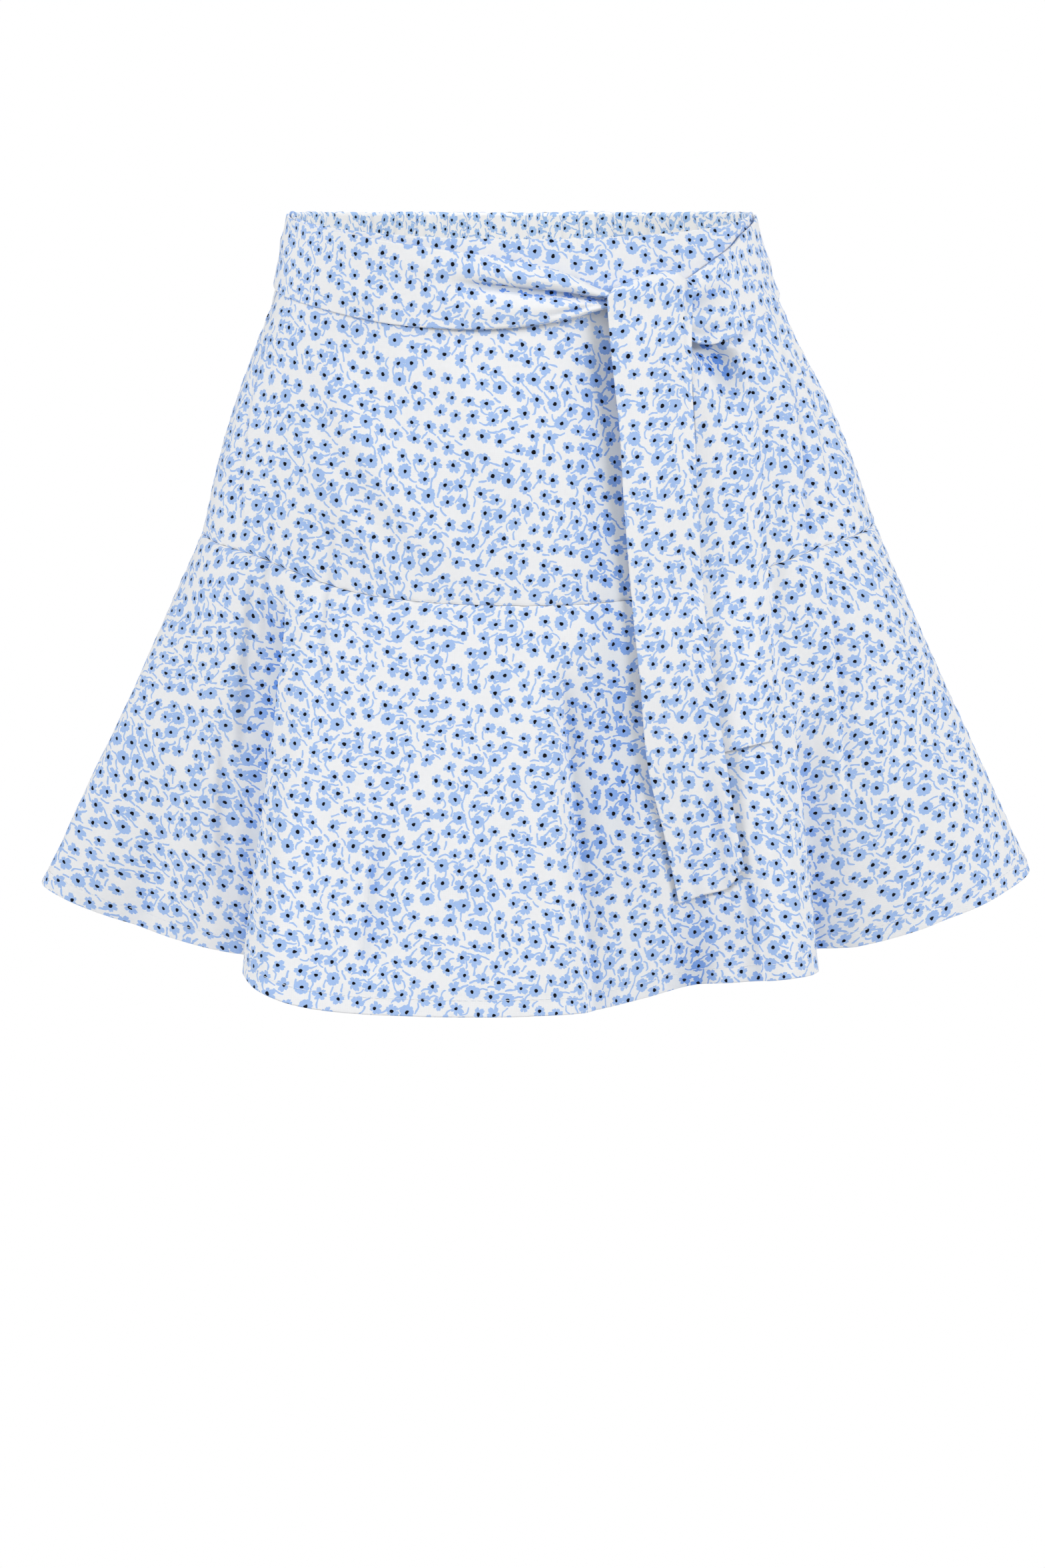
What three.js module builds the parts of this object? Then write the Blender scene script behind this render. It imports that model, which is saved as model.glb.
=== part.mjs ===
// A short flared skort in its worn form: a fitted yoke, a circular flounce with deep flutes,
// an elasticated back waist, a sash sewn into the side seams and tied in front, and inner shorts.
// Millimetres, +Z up. The front faces -Y and +X is the right side as the front is looked at.
// The origin is the middle of the waist opening, level with the top of the side seams.

import * as THREE from 'three';

// ---- driving sizes -------------------------------------------------------------------------

const clothWall = 1.3;        // wall of the skirt's single cloth
const casingWall = 2.4;       // two layers of cloth with the elastic between them
const shortsWall = 1.3;       // wall of the inner shorts
const sashWall = 1.6;         // the sash is a flat tube of cloth, so two layers
const seamGap = 0.3;          // air between two pieces at a seam
const casingDepth = 0.185;    // share of the yoke's height that the elastic casing takes
const backTilt = 0.158;       // fall of the back waist edge for each millimetre behind the sides
const flareFront = 56;        // outward spread of the hem before any flute, front and back
const flareSide = 82;         // and at the side seams
const fluteGrowth = 1.5;      // power by which flutes deepen from the seam to the hem
const sideSeam = 90;          // side seams, degrees round from the middle of the front
const seamTrim = 0.1;         // degrees that each panel stops short of the side seam

// Sections of the yoke. at: share of the way down; the rest are half widths and half depths.
const yokeSections = [
  { at: 0.00, left: 121.0, right: 120.0, front: 87, back: 87 },
  { at: 0.18, left: 127.5, right: 128.0, front: 91, back: 92 },
  { at: 0.27, left: 131.0, right: 134.0, front: 94, back: 96 },
  { at: 0.42, left: 141.5, right: 146.0, front: 100, back: 104 },
  { at: 0.60, left: 153.0, right: 162.0, front: 107, back: 114 },
  { at: 0.80, left: 163.0, right: 176.0, front: 113, back: 122 },
  { at: 1.00, left: 171.0, right: 188.0, front: 118, back: 127 },
];

// Height of the seam between yoke and flounce. at: degrees round from the middle of the front.
const seamHeights = [
  { at: -135, z: -175.0 },
  { at: -90, z: -171.0 },
  { at: -57, z: -168.5 },
  { at: -44, z: -173.5 },
  { at: -30, z: -180.5 },
  { at: -10, z: -183.4 },
  { at: 16, z: -182.0 },
  { at: 43, z: -170.5 },
  { at: 58, z: -164.5 },
  { at: 90, z: -165.5 },
  { at: 135, z: -172.0 },
  { at: 180, z: -177.0 },
];

// Ridges and troughs of the flounce at its hem. at: degrees round; out: spread from the seam;
// slide: shift sideways towards rising angles; length: cloth from the seam to the hem.
const flutes = [
  { at: -166, out: 38, slide: 4, length: 212 },
  { at: -155, out: 74, slide: -3, length: 212 },
  { at: -141, out: 54, slide: 0, length: 212 },
  { at: -130, out: 34, slide: 4, length: 212 },
  { at: -119, out: 72, slide: -3, length: 212 },
  { at: -106, out: 56, slide: 0, length: 212 },
  { at: -97, out: 80, slide: 0, length: 212 },
  { at: -90, out: 87, slide: 0, length: 212 },
  { at: -83, out: 90, slide: 1, length: 212 },
  { at: -72, out: 55, slide: -7, length: 212 },
  { at: -58, out: 34, slide: 2, length: 212 },
  { at: -49.5, out: 28, slide: 8, length: 212 },
  { at: -43.5, out: 64, slide: 9, length: 209 },
  { at: -38, out: 80, slide: 9, length: 214 },
  { at: -30, out: 77, slide: 4, length: 215 },
  { at: -16, out: 66, slide: 5, length: 212 },
  { at: 0, out: 60, slide: 5, length: 210 },
  { at: 10, out: 53, slide: 3, length: 209 },
  { at: 18, out: 37, slide: 1, length: 208 },
  { at: 26, out: 28, slide: 1, length: 207 },
  { at: 32, out: 44, slide: 1, length: 208 },
  { at: 37, out: 62, slide: 0, length: 210 },
  { at: 42, out: 52, slide: 3, length: 212 },
  { at: 47, out: 21, slide: 4, length: 210 },
  { at: 54, out: 34, slide: 6, length: 213 },
  { at: 69, out: 59, slide: 5, length: 212 },
  { at: 80, out: 78, slide: 4, length: 212 },
  { at: 88, out: 89, slide: 1, length: 213 },
  { at: 97, out: 82, slide: 0, length: 212 },
  { at: 112, out: 48, slide: 2, length: 212 },
  { at: 123, out: 38, slide: 6, length: 212 },
  { at: 133, out: 76, slide: -4, length: 212 },
  { at: 145, out: 66, slide: -2, length: 212 },
  { at: 156, out: 34, slide: 4, length: 212 },
  { at: 167, out: 70, slide: 0, length: 212 },
  { at: 182, out: 60, slide: 0, length: 212 },
];

// Sash from each side seam to the knot. at: degrees round; top and bottom: how far down the yoke
// its edges lie, as a share; lift: air under it; wall: its thickness, more where it is bunched.
const sashLeftStations = [
  { at: -89.7, top: 0.006, bottom: 0.225, lift: 0.9, wall: 1.6 },
  { at: -64, top: 0.006, bottom: 0.238, lift: 0.9, wall: 1.6 },
  { at: -43, top: 0.012, bottom: 0.246, lift: 0.9, wall: 1.6 },
  { at: -23, top: 0.029, bottom: 0.250, lift: 1.0, wall: 1.8 },
  { at: -5, top: 0.052, bottom: 0.245, lift: 1.0, wall: 2.4 },
  { at: 10, top: 0.094, bottom: 0.223, lift: 1.0, wall: 3.6 },
  { at: 19, top: 0.145, bottom: 0.198, lift: 0.8, wall: 5.0 },
  { at: 28, top: 0.150, bottom: 0.204, lift: 0.8, wall: 5.0 },
];
const sashRightStations = [
  { at: 28.6, top: 0.140, bottom: 0.250, lift: 0.8, wall: 4.6 },
  { at: 34, top: 0.134, bottom: 0.290, lift: 2.9, wall: 3.2 },
  { at: 41, top: 0.116, bottom: 0.335, lift: 3.2, wall: 1.8 },
  { at: 49, top: 0.080, bottom: 0.334, lift: 3.2, wall: 1.6 },
  { at: 60, top: 0.045, bottom: 0.306, lift: 1.6, wall: 1.6 },
  { at: 68, top: 0.022, bottom: 0.289, lift: 0.9, wall: 1.6 },
  { at: 89.7, top: 0.006, bottom: 0.262, lift: 0.9, wall: 1.6 },
];

// Knot and tails. at: how far down the skirt, 0 to 1 on the yoke and 1 to 2 on the flounce;
// left and right: degrees round of the two edges; lift: air under it.
const knotStations = [
  { at: 0.084, left: 21.5, right: 38.0, lift: 0.8 },
  { at: 0.100, left: 19.6, right: 40.2, lift: 4.2 },
  { at: 0.130, left: 18.8, right: 40.9, lift: 7.2 },
  { at: 0.170, left: 18.7, right: 40.4, lift: 7.6 },
  { at: 0.240, left: 18.6, right: 39.2, lift: 6.6 },
];
const tailFrontStations = [
  { at: 0.243, left: 18.6, right: 39.2, lift: 6.6 },
  { at: 0.34, left: 18.4, right: 36.8, lift: 6.4 },
  { at: 0.50, left: 18.2, right: 33.9, lift: 4.2 },
  { at: 0.72, left: 17.3, right: 31.0, lift: 3.0 },
  { at: 1.00, left: 17.1, right: 29.2, lift: 2.8 },
  { at: 1.20, left: 17.8, right: 29.7, lift: 2.8 },
  { at: 1.41, left: 18.6, right: 30.9, lift: 2.8 },
  { at: 1.58, left: 20.6, right: 32.2, lift: 2.8 },
  { at: 1.765, left: 22.6, right: 33.4, lift: 2.8 },
];
const tailBackStations = [
  { at: 0.30, left: 34.8, right: 45.5, lift: 0.8 },
  { at: 0.40, left: 36.2, right: 49.2, lift: 0.8 },
  { at: 0.54, left: 33.8, right: 49.0, lift: 0.8 },
  { at: 0.72, left: 30.8, right: 46.0, lift: 0.8 },
  { at: 0.94, left: 28.8, right: 42.8, lift: 0.8 },
  { at: 1.20, left: 27.6, right: 40.3, lift: 0.8 },
  { at: 1.415, left: 27.2, right: 38.7, lift: 0.8 },
];

// Inner shorts: half sizes of the body form by height, then one row for each ring of a leg.
const bodyForm = [
  { at: -330, side: 152, front: 80, back: 88 },
  { at: -250, side: 156, front: 88, back: 102 },
  { at: -205, side: 158, front: 98, back: 112 },
  { at: -165, side: 158, front: 104, back: 115 },
  { at: -120, side: 148, front: 101, back: 109 },
  { at: -75, side: 134, front: 94.5, back: 97 },
  { at: -45, side: 126.3, front: 90.8, back: 89.6 },
  { at: -25, side: 122.3, front: 88.0, back: 87.5 },
  { at: -2, side: 117.9, front: 84.8, back: 84.8 },
];
// zFront, zBack: height of the ring; closed: share of the inner side that is cloth, which is 0
// above the crotch; inner: distance of the inseam from the middle; round: 1 is an oval leg.
const legRings = [
  { zFront: -2, zBack: -50, closed: 0, inner: 0, round: 0 },
  { zFront: -35, zBack: -68, closed: 0, inner: 0, round: 0 },
  { zFront: -78, zBack: -98, closed: 0, inner: 0, round: 0 },
  { zFront: -122, zBack: -132, closed: 0, inner: 0, round: 0 },
  { zFront: -165, zBack: -168, closed: 0, inner: 0, round: 0 },
  { zFront: -200, zBack: -200, closed: 0.12, inner: 0, round: 0 },
  { zFront: -226, zBack: -226, closed: 0.42, inner: 0, round: 0.04 },
  { zFront: -244, zBack: -244, closed: 0.78, inner: 0, round: 0.12 },
  { zFront: -254, zBack: -254, closed: 1, inner: 0.3, round: 0.22 },
  { zFront: -288, zBack: -288, closed: 1, inner: 2, round: 0.5 },
  { zFront: -322, zBack: -322, closed: 1, inner: 4, round: 0.7 },
];
const backStep = { from: 72, to: 88 };   // degrees over which the shorts' top edge drops
const flatShare = 0.25;       // share of a leg's ring that each half of its inner side takes
const inseamTrim = 0.0006;    // share of the ring left open at the inseam
const yokeHeight = 176;       // cloth of the yoke from waist to seam, for turning gaps into shares
const slideGrowth = 1.3;      // power by which the sideways shift of a flute grows

// Mesh steps of the pieces.
const steps = {
  perFlute: 3, flounceDown: 6,
  casingRound: 26, sashAlong: 18, tailAlong: 16, knotAlong: 6, across: 4, legRound: 24,
};

// ---- reading the tables --------------------------------------------------------------------

const turn = 360;

// A smooth curve through one column of a table, in the order of its 'at' column.
function readTable(rows, at, column) {
  const last = rows.length - 1;
  const x = Math.min(Math.max(at, rows[0].at), rows[last].at);
  let i = 0;
  while (i < last - 1 && x > rows[i + 1].at) i += 1;
  const slope = (j) => {
    const before = rows[Math.max(j - 1, 0)];
    const after = rows[Math.min(j + 1, last)];
    return (after[column] - before[column]) / (after.at - before.at);
  };
  const span = rows[i + 1].at - rows[i].at;
  const t = (x - rows[i].at) / span;
  const t2 = t * t;
  const t3 = t2 * t;
  return (2 * t3 - 3 * t2 + 1) * rows[i][column]
    + (t3 - 2 * t2 + t) * span * slope(i)
    + (3 * t2 - 2 * t3) * rows[i + 1][column]
    + (t3 - t2) * span * slope(i + 1);
}

// The same rows carried on past both ends of one turn, so that the curve closes on itself.
function allRound(rows) {
  const before = rows.slice(-3).map((row) => ({ ...row, at: row.at - turn }));
  const after = rows.slice(0, 3).map((row) => ({ ...row, at: row.at + turn }));
  return [...before, ...rows, ...after];
}

const seamHeightsRound = allRound(seamHeights);
const flutesRound = allRound(flutes);

const inOneTurn = (degrees) => THREE.MathUtils.euclideanModulo(degrees + 170, turn) - 170;
const radians = THREE.MathUtils.degToRad;

// ---- the skirt's surface -------------------------------------------------------------------

// A point of the yoke: degrees round from the middle of the front, and share of the way down.
function yokePoint(degrees, down) {
  const sine = Math.sin(radians(degrees));
  const cosine = Math.cos(radians(degrees));
  const x = readTable(yokeSections, down, sine > 0 ? 'right' : 'left') * sine;
  const y = -readTable(yokeSections, down, cosine > 0 ? 'front' : 'back') * cosine;
  const rim = cosine < 0 ? backTilt * yokeSections[0].back * cosine : 0;
  const seam = readTable(seamHeightsRound, inOneTurn(degrees), 'z');
  return new THREE.Vector3(x, y, THREE.MathUtils.lerp(rim, seam, down));
}

// A point of the flounce: degrees round, and share of the way from the seam to the hem.
function flouncePoint(degrees, down) {
  const seam = yokePoint(degrees, 1);
  const along = yokePoint(degrees + 0.5, 1).sub(yokePoint(degrees - 0.5, 1)).setZ(0).normalize();
  const outward = new THREE.Vector3(along.y, -along.x, 0);
  const at = inOneTurn(degrees);
  const out = readTable(flutesRound, at, 'out');
  const slide = readTable(flutesRound, at, 'slide');
  const length = readTable(flutesRound, at, 'length');
  const flare = THREE.MathUtils.lerp(flareFront, flareSide, Math.sin(radians(degrees)) ** 2);
  const spread = flare * down + (out - flare) * down ** fluteGrowth;
  const drop = Math.sqrt(length ** 2 - out ** 2 - slide ** 2) * down;
  return seam
    .addScaledVector(outward, spread)
    .addScaledVector(along, slide * down ** slideGrowth)
    .add(new THREE.Vector3(0, 0, -drop));
}

// The whole skirt: down runs from 0 at the waist through 1 at the seam to 2 at the hem.
function skirtPoint(degrees, down) {
  return down <= 1 ? yokePoint(degrees, down) : flouncePoint(degrees, down - 1);
}

// Outward normal of a surface given by a function of two numbers.
function normalOf(surface, u, v, stepU, stepV, low, high) {
  const alongU = surface(u + stepU, v).sub(surface(u - stepU, v));
  const alongV = surface(u, Math.min(v + stepV, high)).sub(surface(u, Math.max(v - stepV, low)));
  return alongV.cross(alongU).normalize();
}

const yokeNormal = (degrees, down) => normalOf(yokePoint, degrees, down, 0.6, 0.02, 0, 1);
const flounceNormal = (degrees, down) => normalOf(flouncePoint, degrees, down, 0.6, 0.02, 0, 1);

function skirtNormal(degrees, down) {
  return down <= 1 ? yokeNormal(degrees, down) : flounceNormal(degrees, down - 1);
}

// A point moved off the skirt along its normal.
function offSkirt(degrees, down, distance) {
  return skirtPoint(degrees, down).addScaledVector(skirtNormal(degrees, down), distance);
}

// ---- closed shells of cloth ----------------------------------------------------------------

// One closed wall from two faces. outer and inner give points for each column u and row v;
// u runs towards rising angles and v runs down, so that the outer face looks outward.
function clothWallGeometry(columns, rows, outer, inner) {
  const across = columns.length;
  const positions = [];
  for (const face of [outer, inner]) {
    for (const v of rows) {
      for (const u of columns) positions.push(...face(u, v).toArray());
    }
  }
  const innerStart = across * rows.length;
  const triangles = [];
  const quad = (a, b, c, d) => triangles.push(a, b, c, a, c, d);
  for (let r = 0; r < rows.length - 1; r += 1) {
    for (let c = 0; c < across - 1; c += 1) {
      const a = r * across + c;
      const b = a + 1;
      const below = a + across;
      quad(a, below, below + 1, b);
      quad(innerStart + a, innerStart + b, innerStart + below + 1, innerStart + below);
    }
  }
  const lastRow = (rows.length - 1) * across;
  for (let c = 0; c < across - 1; c += 1) {
    quad(c, c + 1, innerStart + c + 1, innerStart + c);
    const low = lastRow + c;
    quad(low, innerStart + low, innerStart + low + 1, low + 1);
  }
  for (let r = 0; r < rows.length - 1; r += 1) {
    const left = r * across;
    const right = left + across - 1;
    quad(left, innerStart + left, innerStart + left + across, left + across);
    quad(right, right + across, innerStart + right + across, innerStart + right);
  }
  const geometry = new THREE.BufferGeometry();
  geometry.setAttribute('position', new THREE.Float32BufferAttribute(positions, 3));
  geometry.setIndex(triangles);
  geometry.computeVertexNormals();
  return geometry;
}

const evenly = (from, to, count) =>
  Array.from({ length: count + 1 }, (_, i) => THREE.MathUtils.lerp(from, to, i / count));

// Angles with a few steps between each two flutes, so that every ridge and trough has a column.
function fluteColumns(from, to, perFlute) {
  const stops = flutes.flatMap((row) => [row.at, row.at + turn])
    .filter((at) => at > from + 1 && at < to - 1)
    .sort((a, b) => a - b);
  const ends = [from, ...stops, to];
  const columns = [from];
  for (let i = 0; i < ends.length - 1; i += 1) {
    const wide = ends[i + 1] - ends[i] > 9;
    columns.push(...evenly(ends[i], ends[i + 1], wide ? perFlute : perFlute - 1).slice(1));
  }
  return columns;
}

// Rows of a yoke panel: its edges, each section between them, and one halfway to the first.
function yokeRows(top) {
  const bottom = 1 - halfGapDown;
  const sections = yokeSections.map((row) => row.at).filter((at) => at > top + 0.02 && at < bottom);
  return [top, (top + sections[0]) / 2, ...sections, bottom];
}

// ---- the pieces ----------------------------------------------------------------------------

const printedCotton = { color: 0xd3ddee, roughness: 0.85, metalness: 0 };
const plainJersey = { color: 0xf1f1ee, roughness: 0.9, metalness: 0 };

const skort = new THREE.Group();

function addPiece(name, geometry, finish) {
  const mesh = new THREE.Mesh(geometry, new THREE.MeshStandardMaterial(finish));
  mesh.name = name;
  skort.add(mesh);
}

const front = { from: -sideSeam + seamTrim, to: sideSeam - seamTrim };
const back = { from: sideSeam + seamTrim, to: turn - sideSeam - seamTrim };
const halfGapDown = seamGap / 2 / yokeHeight;

function yokePanel(name, side, top) {
  const columns = fluteColumns(side.from, side.to, steps.perFlute);
  const rows = yokeRows(top);
  const outer = (u, v) => yokePoint(u, v);
  const inner = (u, v) => yokePoint(u, v).addScaledVector(yokeNormal(u, v), -clothWall);
  addPiece(name, clothWallGeometry(columns, rows, outer, inner), printedCotton);
}

function flouncePanel(name, side) {
  const columns = fluteColumns(side.from, side.to, steps.perFlute);
  const rows = evenly(halfGapDown, 1, steps.flounceDown);
  const outer = (u, v) => flouncePoint(u, v);
  const inner = (u, v) => flouncePoint(u, v).addScaledVector(flounceNormal(u, v), -clothWall);
  addPiece(name, clothWallGeometry(columns, rows, outer, inner), printedCotton);
}

function waistCasing(name, side) {
  const columns = evenly(side.from, side.to, steps.casingRound);
  const rows = evenly(0, casingDepth - halfGapDown, 2);
  const outer = (u, v) => yokePoint(u, v);
  const inner = (u, v) => yokePoint(u, v).addScaledVector(yokeNormal(u, v), -casingWall);
  addPiece(name, clothWallGeometry(columns, rows, outer, inner), printedCotton);
}

// A band that runs round the yoke, from its points moved out.
function sash(name, stations) {
  const columns = evenly(stations[0].at, stations[stations.length - 1].at, steps.sashAlong);
  const widths = evenly(0, 1, steps.across);
  const place = (u, v, extra) => {
    const down = THREE.MathUtils.lerp(readTable(stations, u, 'top'), readTable(stations, u, 'bottom'), v);
    return offSkirt(u, down, readTable(stations, u, 'lift') + extra(u));
  };
  const outer = (u, v) => place(u, v, (at) => readTable(stations, at, 'wall'));
  const inner = (u, v) => place(u, v, () => 0);
  addPiece(name, clothWallGeometry(columns, widths, outer, inner), printedCotton);
}

// A band that hangs down the skirt, from its points moved out.
function hangingBand(name, stations, along) {
  const rows = evenly(stations[0].at, stations[stations.length - 1].at, along);
  const widths = evenly(0, 1, steps.across);
  const place = (u, v, extra) => {
    const left = readTable(stations, v, 'left');
    const right = readTable(stations, v, 'right');
    return offSkirt(THREE.MathUtils.lerp(left, right, u), v, readTable(stations, v, 'lift') + extra);
  };
  const outer = (u, v) => place(u, v, sashWall);
  const inner = (u, v) => place(u, v, 0);
  addPiece(name, clothWallGeometry(widths, rows, outer, inner), printedCotton);
}

// ---- inner shorts --------------------------------------------------------------------------

// One leg's ring at parameter t, which runs from the inseam forward, round the outside and back.
// The ring is a half oval closed by a straight inner side, and turns into an oval lower down.
function legPoint(side, t, ring) {
  const index = Math.min(Math.floor(ring), legRings.length - 2);
  const part = ring - index;
  const mix = (column) =>
    THREE.MathUtils.lerp(legRings[index][column], legRings[index + 1][column], part);
  const arc = THREE.MathUtils.clamp((t - flatShare) / (1 - 2 * flatShare), 0, 1) * 180;
  const drop = THREE.MathUtils.smoothstep(arc, backStep.from, backStep.to);
  const z = THREE.MathUtils.lerp(mix('zFront'), mix('zBack'), drop);
  const halfSide = readTable(bodyForm, z, 'side');
  const frontDepth = readTable(bodyForm, z, 'front');
  const backDepth = readTable(bodyForm, z, 'back');
  const inner = mix('inner') + seamGap / 2;
  const middle = (backDepth - frontDepth) / 2;

  const flatSide = { x: inner, y: 0 };
  if (t < flatShare) {
    flatSide.y = THREE.MathUtils.lerp(middle, -frontDepth, t / flatShare);
  } else if (t > 1 - flatShare) {
    flatSide.y = THREE.MathUtils.lerp(middle, backDepth, (1 - t) / flatShare);
  } else {
    const cosine = Math.cos(radians(arc));
    flatSide.x = inner + (halfSide - inner) * Math.sin(radians(arc));
    flatSide.y = -(cosine > 0 ? frontDepth : backDepth) * cosine;
  }
  const centre = (halfSide + inner) / 2;
  const swing = 2 * Math.PI * t;
  const oval = {
    x: centre - (halfSide - inner) / 2 * Math.cos(swing),
    y: middle - (backDepth + frontDepth) / 2 * Math.sin(swing),
  };
  const round = mix('round');
  const x = THREE.MathUtils.lerp(flatSide.x, oval.x, round);
  const y = THREE.MathUtils.lerp(flatSide.y, oval.y, round);
  return new THREE.Vector3(side * x, y, z);
}

// One shorts panel, front and back in one, folded round the leg and seamed at the inseam.
function shortsLeg(name, side) {
  const rings = legRings.map((_, i) => i);
  const trim = (ring) => flatShare * (1 - legRings[ring].closed) + inseamTrim;
  const shares = evenly(0, 1, steps.legRound);
  const tOf = (share, ring) => {
    const start = trim(ring);
    return THREE.MathUtils.lerp(start, 1 - start, share);
  };
  const outer = (share, ring) => legPoint(side, tOf(share, ring), ring);
  const inner = (share, ring) => {
    const t = tOf(share, ring);
    const surface = (u, v) => legPoint(side, u, v);
    const normal = normalOf(surface, t, ring, 0.004, 0.2, 0, legRings.length - 1);
    return outer(share, ring).addScaledVector(normal, side * -shortsWall);
  };
  const columns = side > 0 ? shares : shares.slice().reverse();
  addPiece(name, clothWallGeometry(columns, rings, outer, inner), plainJersey);
}

// ---- assembly ------------------------------------------------------------------------------

yokePanel('yoke_front', front, 0);
yokePanel('yoke_back', back, casingDepth + halfGapDown);
waistCasing('waist_casing_back', back);
flouncePanel('flounce_front', front);
flouncePanel('flounce_back', back);
sash('sash_left', sashLeftStations);
sash('sash_right', sashRightStations);
hangingBand('sash_knot', knotStations, steps.knotAlong);
hangingBand('tail_front', tailFrontStations, steps.tailAlong);
hangingBand('tail_back', tailBackStations, steps.tailAlong);
shortsLeg('shorts_left', -1);
shortsLeg('shorts_right', 1);

export default skort;
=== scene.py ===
import math
import random

import bpy
import numpy as np
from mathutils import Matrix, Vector


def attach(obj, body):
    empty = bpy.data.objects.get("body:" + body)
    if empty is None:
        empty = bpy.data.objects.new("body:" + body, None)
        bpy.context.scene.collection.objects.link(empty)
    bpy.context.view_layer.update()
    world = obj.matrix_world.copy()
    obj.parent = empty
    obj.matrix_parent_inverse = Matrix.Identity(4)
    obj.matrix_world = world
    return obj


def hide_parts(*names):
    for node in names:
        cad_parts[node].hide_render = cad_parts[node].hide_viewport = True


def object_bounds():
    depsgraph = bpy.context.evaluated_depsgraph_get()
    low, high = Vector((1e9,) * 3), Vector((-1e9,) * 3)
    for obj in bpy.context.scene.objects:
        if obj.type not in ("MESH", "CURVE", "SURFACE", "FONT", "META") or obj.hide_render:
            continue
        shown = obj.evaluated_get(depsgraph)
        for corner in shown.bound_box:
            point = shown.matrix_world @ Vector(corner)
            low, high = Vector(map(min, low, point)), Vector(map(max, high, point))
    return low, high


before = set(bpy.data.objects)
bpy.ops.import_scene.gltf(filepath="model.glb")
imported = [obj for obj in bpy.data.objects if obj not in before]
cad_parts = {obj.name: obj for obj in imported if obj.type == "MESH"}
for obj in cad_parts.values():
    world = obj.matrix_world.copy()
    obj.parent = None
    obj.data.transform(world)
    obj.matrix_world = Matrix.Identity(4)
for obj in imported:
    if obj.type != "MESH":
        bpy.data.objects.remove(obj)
cadLow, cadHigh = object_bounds()
print("frame loaded, CAD box", [round(v, 3) for v in cadLow], [round(v, 3) for v in cadHigh])

mm = 0.001
turn = 360.0


# Tables are read along their first column, by a smooth curve through the rows.

def tableOf(columns, rows):
    return dict(zip(columns.split(), np.array(rows, float).T))


def allRound(table):  # the same rows carried past both ends of one turn, so that the curve closes
    axis = next(iter(table))
    return {c: np.concatenate([v[-3:] - turn * (c == axis), v, v[:3] + turn * (c == axis)])
            for c, v in table.items()}


def follow(table, column, at):
    x, y = table[next(iter(table))], table[column]
    at = np.clip(at, x[0], x[-1])
    i = np.clip(np.searchsorted(x, at, side="right") - 1, 0, len(x) - 2)
    before = np.maximum(np.arange(len(x)) - 1, 0)
    after = np.minimum(np.arange(len(x)) + 1, len(x) - 1)
    slope = (y[after] - y[before]) / (x[after] - x[before])
    span = x[i + 1] - x[i]
    t = (at - x[i]) / span
    return (y[i] * (2 * t**3 - 3 * t**2 + 1) + slope[i] * span * (t**3 - 2 * t**2 + t)
            + y[i + 1] * (3 * t**2 - 2 * t**3) + slope[i + 1] * span * (t**3 - t**2))


def ramp(t):  # soft step from 0 to 1
    t = np.clip(t, 0, 1)
    return t * t * (3 - 2 * t)


def bell(away, wide):
    return np.exp(-(away / wide) ** 2)


def paired(degrees, down):
    return np.broadcast_arrays(np.asarray(degrees, float), np.asarray(down, float))


def unitOf(vectors):
    return vectors / np.maximum(np.linalg.norm(vectors, axis=-1, keepdims=True), 1e-12)


# The skirt's form. Degrees run round from the middle of the front (-Y) towards +X. Down runs
# from 0 at the waist through 1 at the seam to 2 at the hem.

skirtForm = {
    "yoke": tableOf("down left right front back", [  # half widths and half depths, mm
        (0.00, 121.0, 120.0, 87, 87), (0.18, 127.5, 128.0, 91, 92), (0.27, 131.0, 134.0, 94, 96),
        (0.42, 141.5, 146.0, 100, 104), (0.60, 153.0, 162.0, 107, 114),
        (0.80, 163.0, 176.0, 113, 122), (1.00, 171.0, 188.0, 118, 127)]),
    "seam": allRound(tableOf("at z", [  # height of the seam between yoke and flounce, mm
        (-135, -175.0), (-90, -171.0), (-57, -168.5), (-44, -173.5), (-30, -180.5), (-10, -183.4),
        (16, -182.0), (43, -170.5), (58, -164.5), (90, -165.5), (135, -172.0), (180, -177.0)])),
    "flutes": allRound(tableOf("at out slide length", [  # spread and sideways shift at the hem, mm
        (-166, 38, 4, 212), (-155, 74, -3, 212), (-141, 54, 0, 212), (-130, 34, 4, 212),
        (-119, 72, -3, 212), (-106, 56, 0, 212), (-97, 80, 0, 212), (-90, 87, 0, 212),
        (-83, 90, 1, 212), (-72, 55, -7, 212), (-58, 34, 2, 212), (-49.5, 28, 8, 212),
        (-43.5, 64, 9, 209), (-38, 80, 9, 214), (-30, 77, 4, 215), (-16, 66, 5, 212),
        (0, 60, 5, 210), (10, 53, 3, 209), (18, 37, 1, 208), (26, 28, 1, 207), (32, 44, 1, 208),
        (37, 62, 0, 210), (42, 52, 3, 212), (47, 21, 4, 210), (54, 34, 6, 213), (69, 59, 5, 212),
        (80, 78, 4, 212), (88, 89, 1, 213), (97, 82, 0, 212), (112, 48, 2, 212), (123, 38, 6, 212),
        (133, 76, -4, 212), (145, 66, -2, 212), (156, 34, 4, 212), (167, 70, 0, 212),
        (182, 60, 0, 212)])),
    "backTilt": 0.158, "flareFront": 56, "flareSide": 82, "fluteGrowth": 1.5, "slideGrowth": 1.3,
    "yokeLength": 176, "seamGap": 0.05, "casingGap": 0.15,  # mm; gaps between panels at their seams
}
frontSpan, backSpan = (-89.985, 89.985), (90.015, 269.985)  # degrees from side seam to side seam
yokeEnd = 1 - skirtForm["seamGap"] / skirtForm["yokeLength"]  # share of the way down to the seam


def inOneTurn(degrees):
    return np.mod(degrees + 170, turn) - 170


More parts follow.
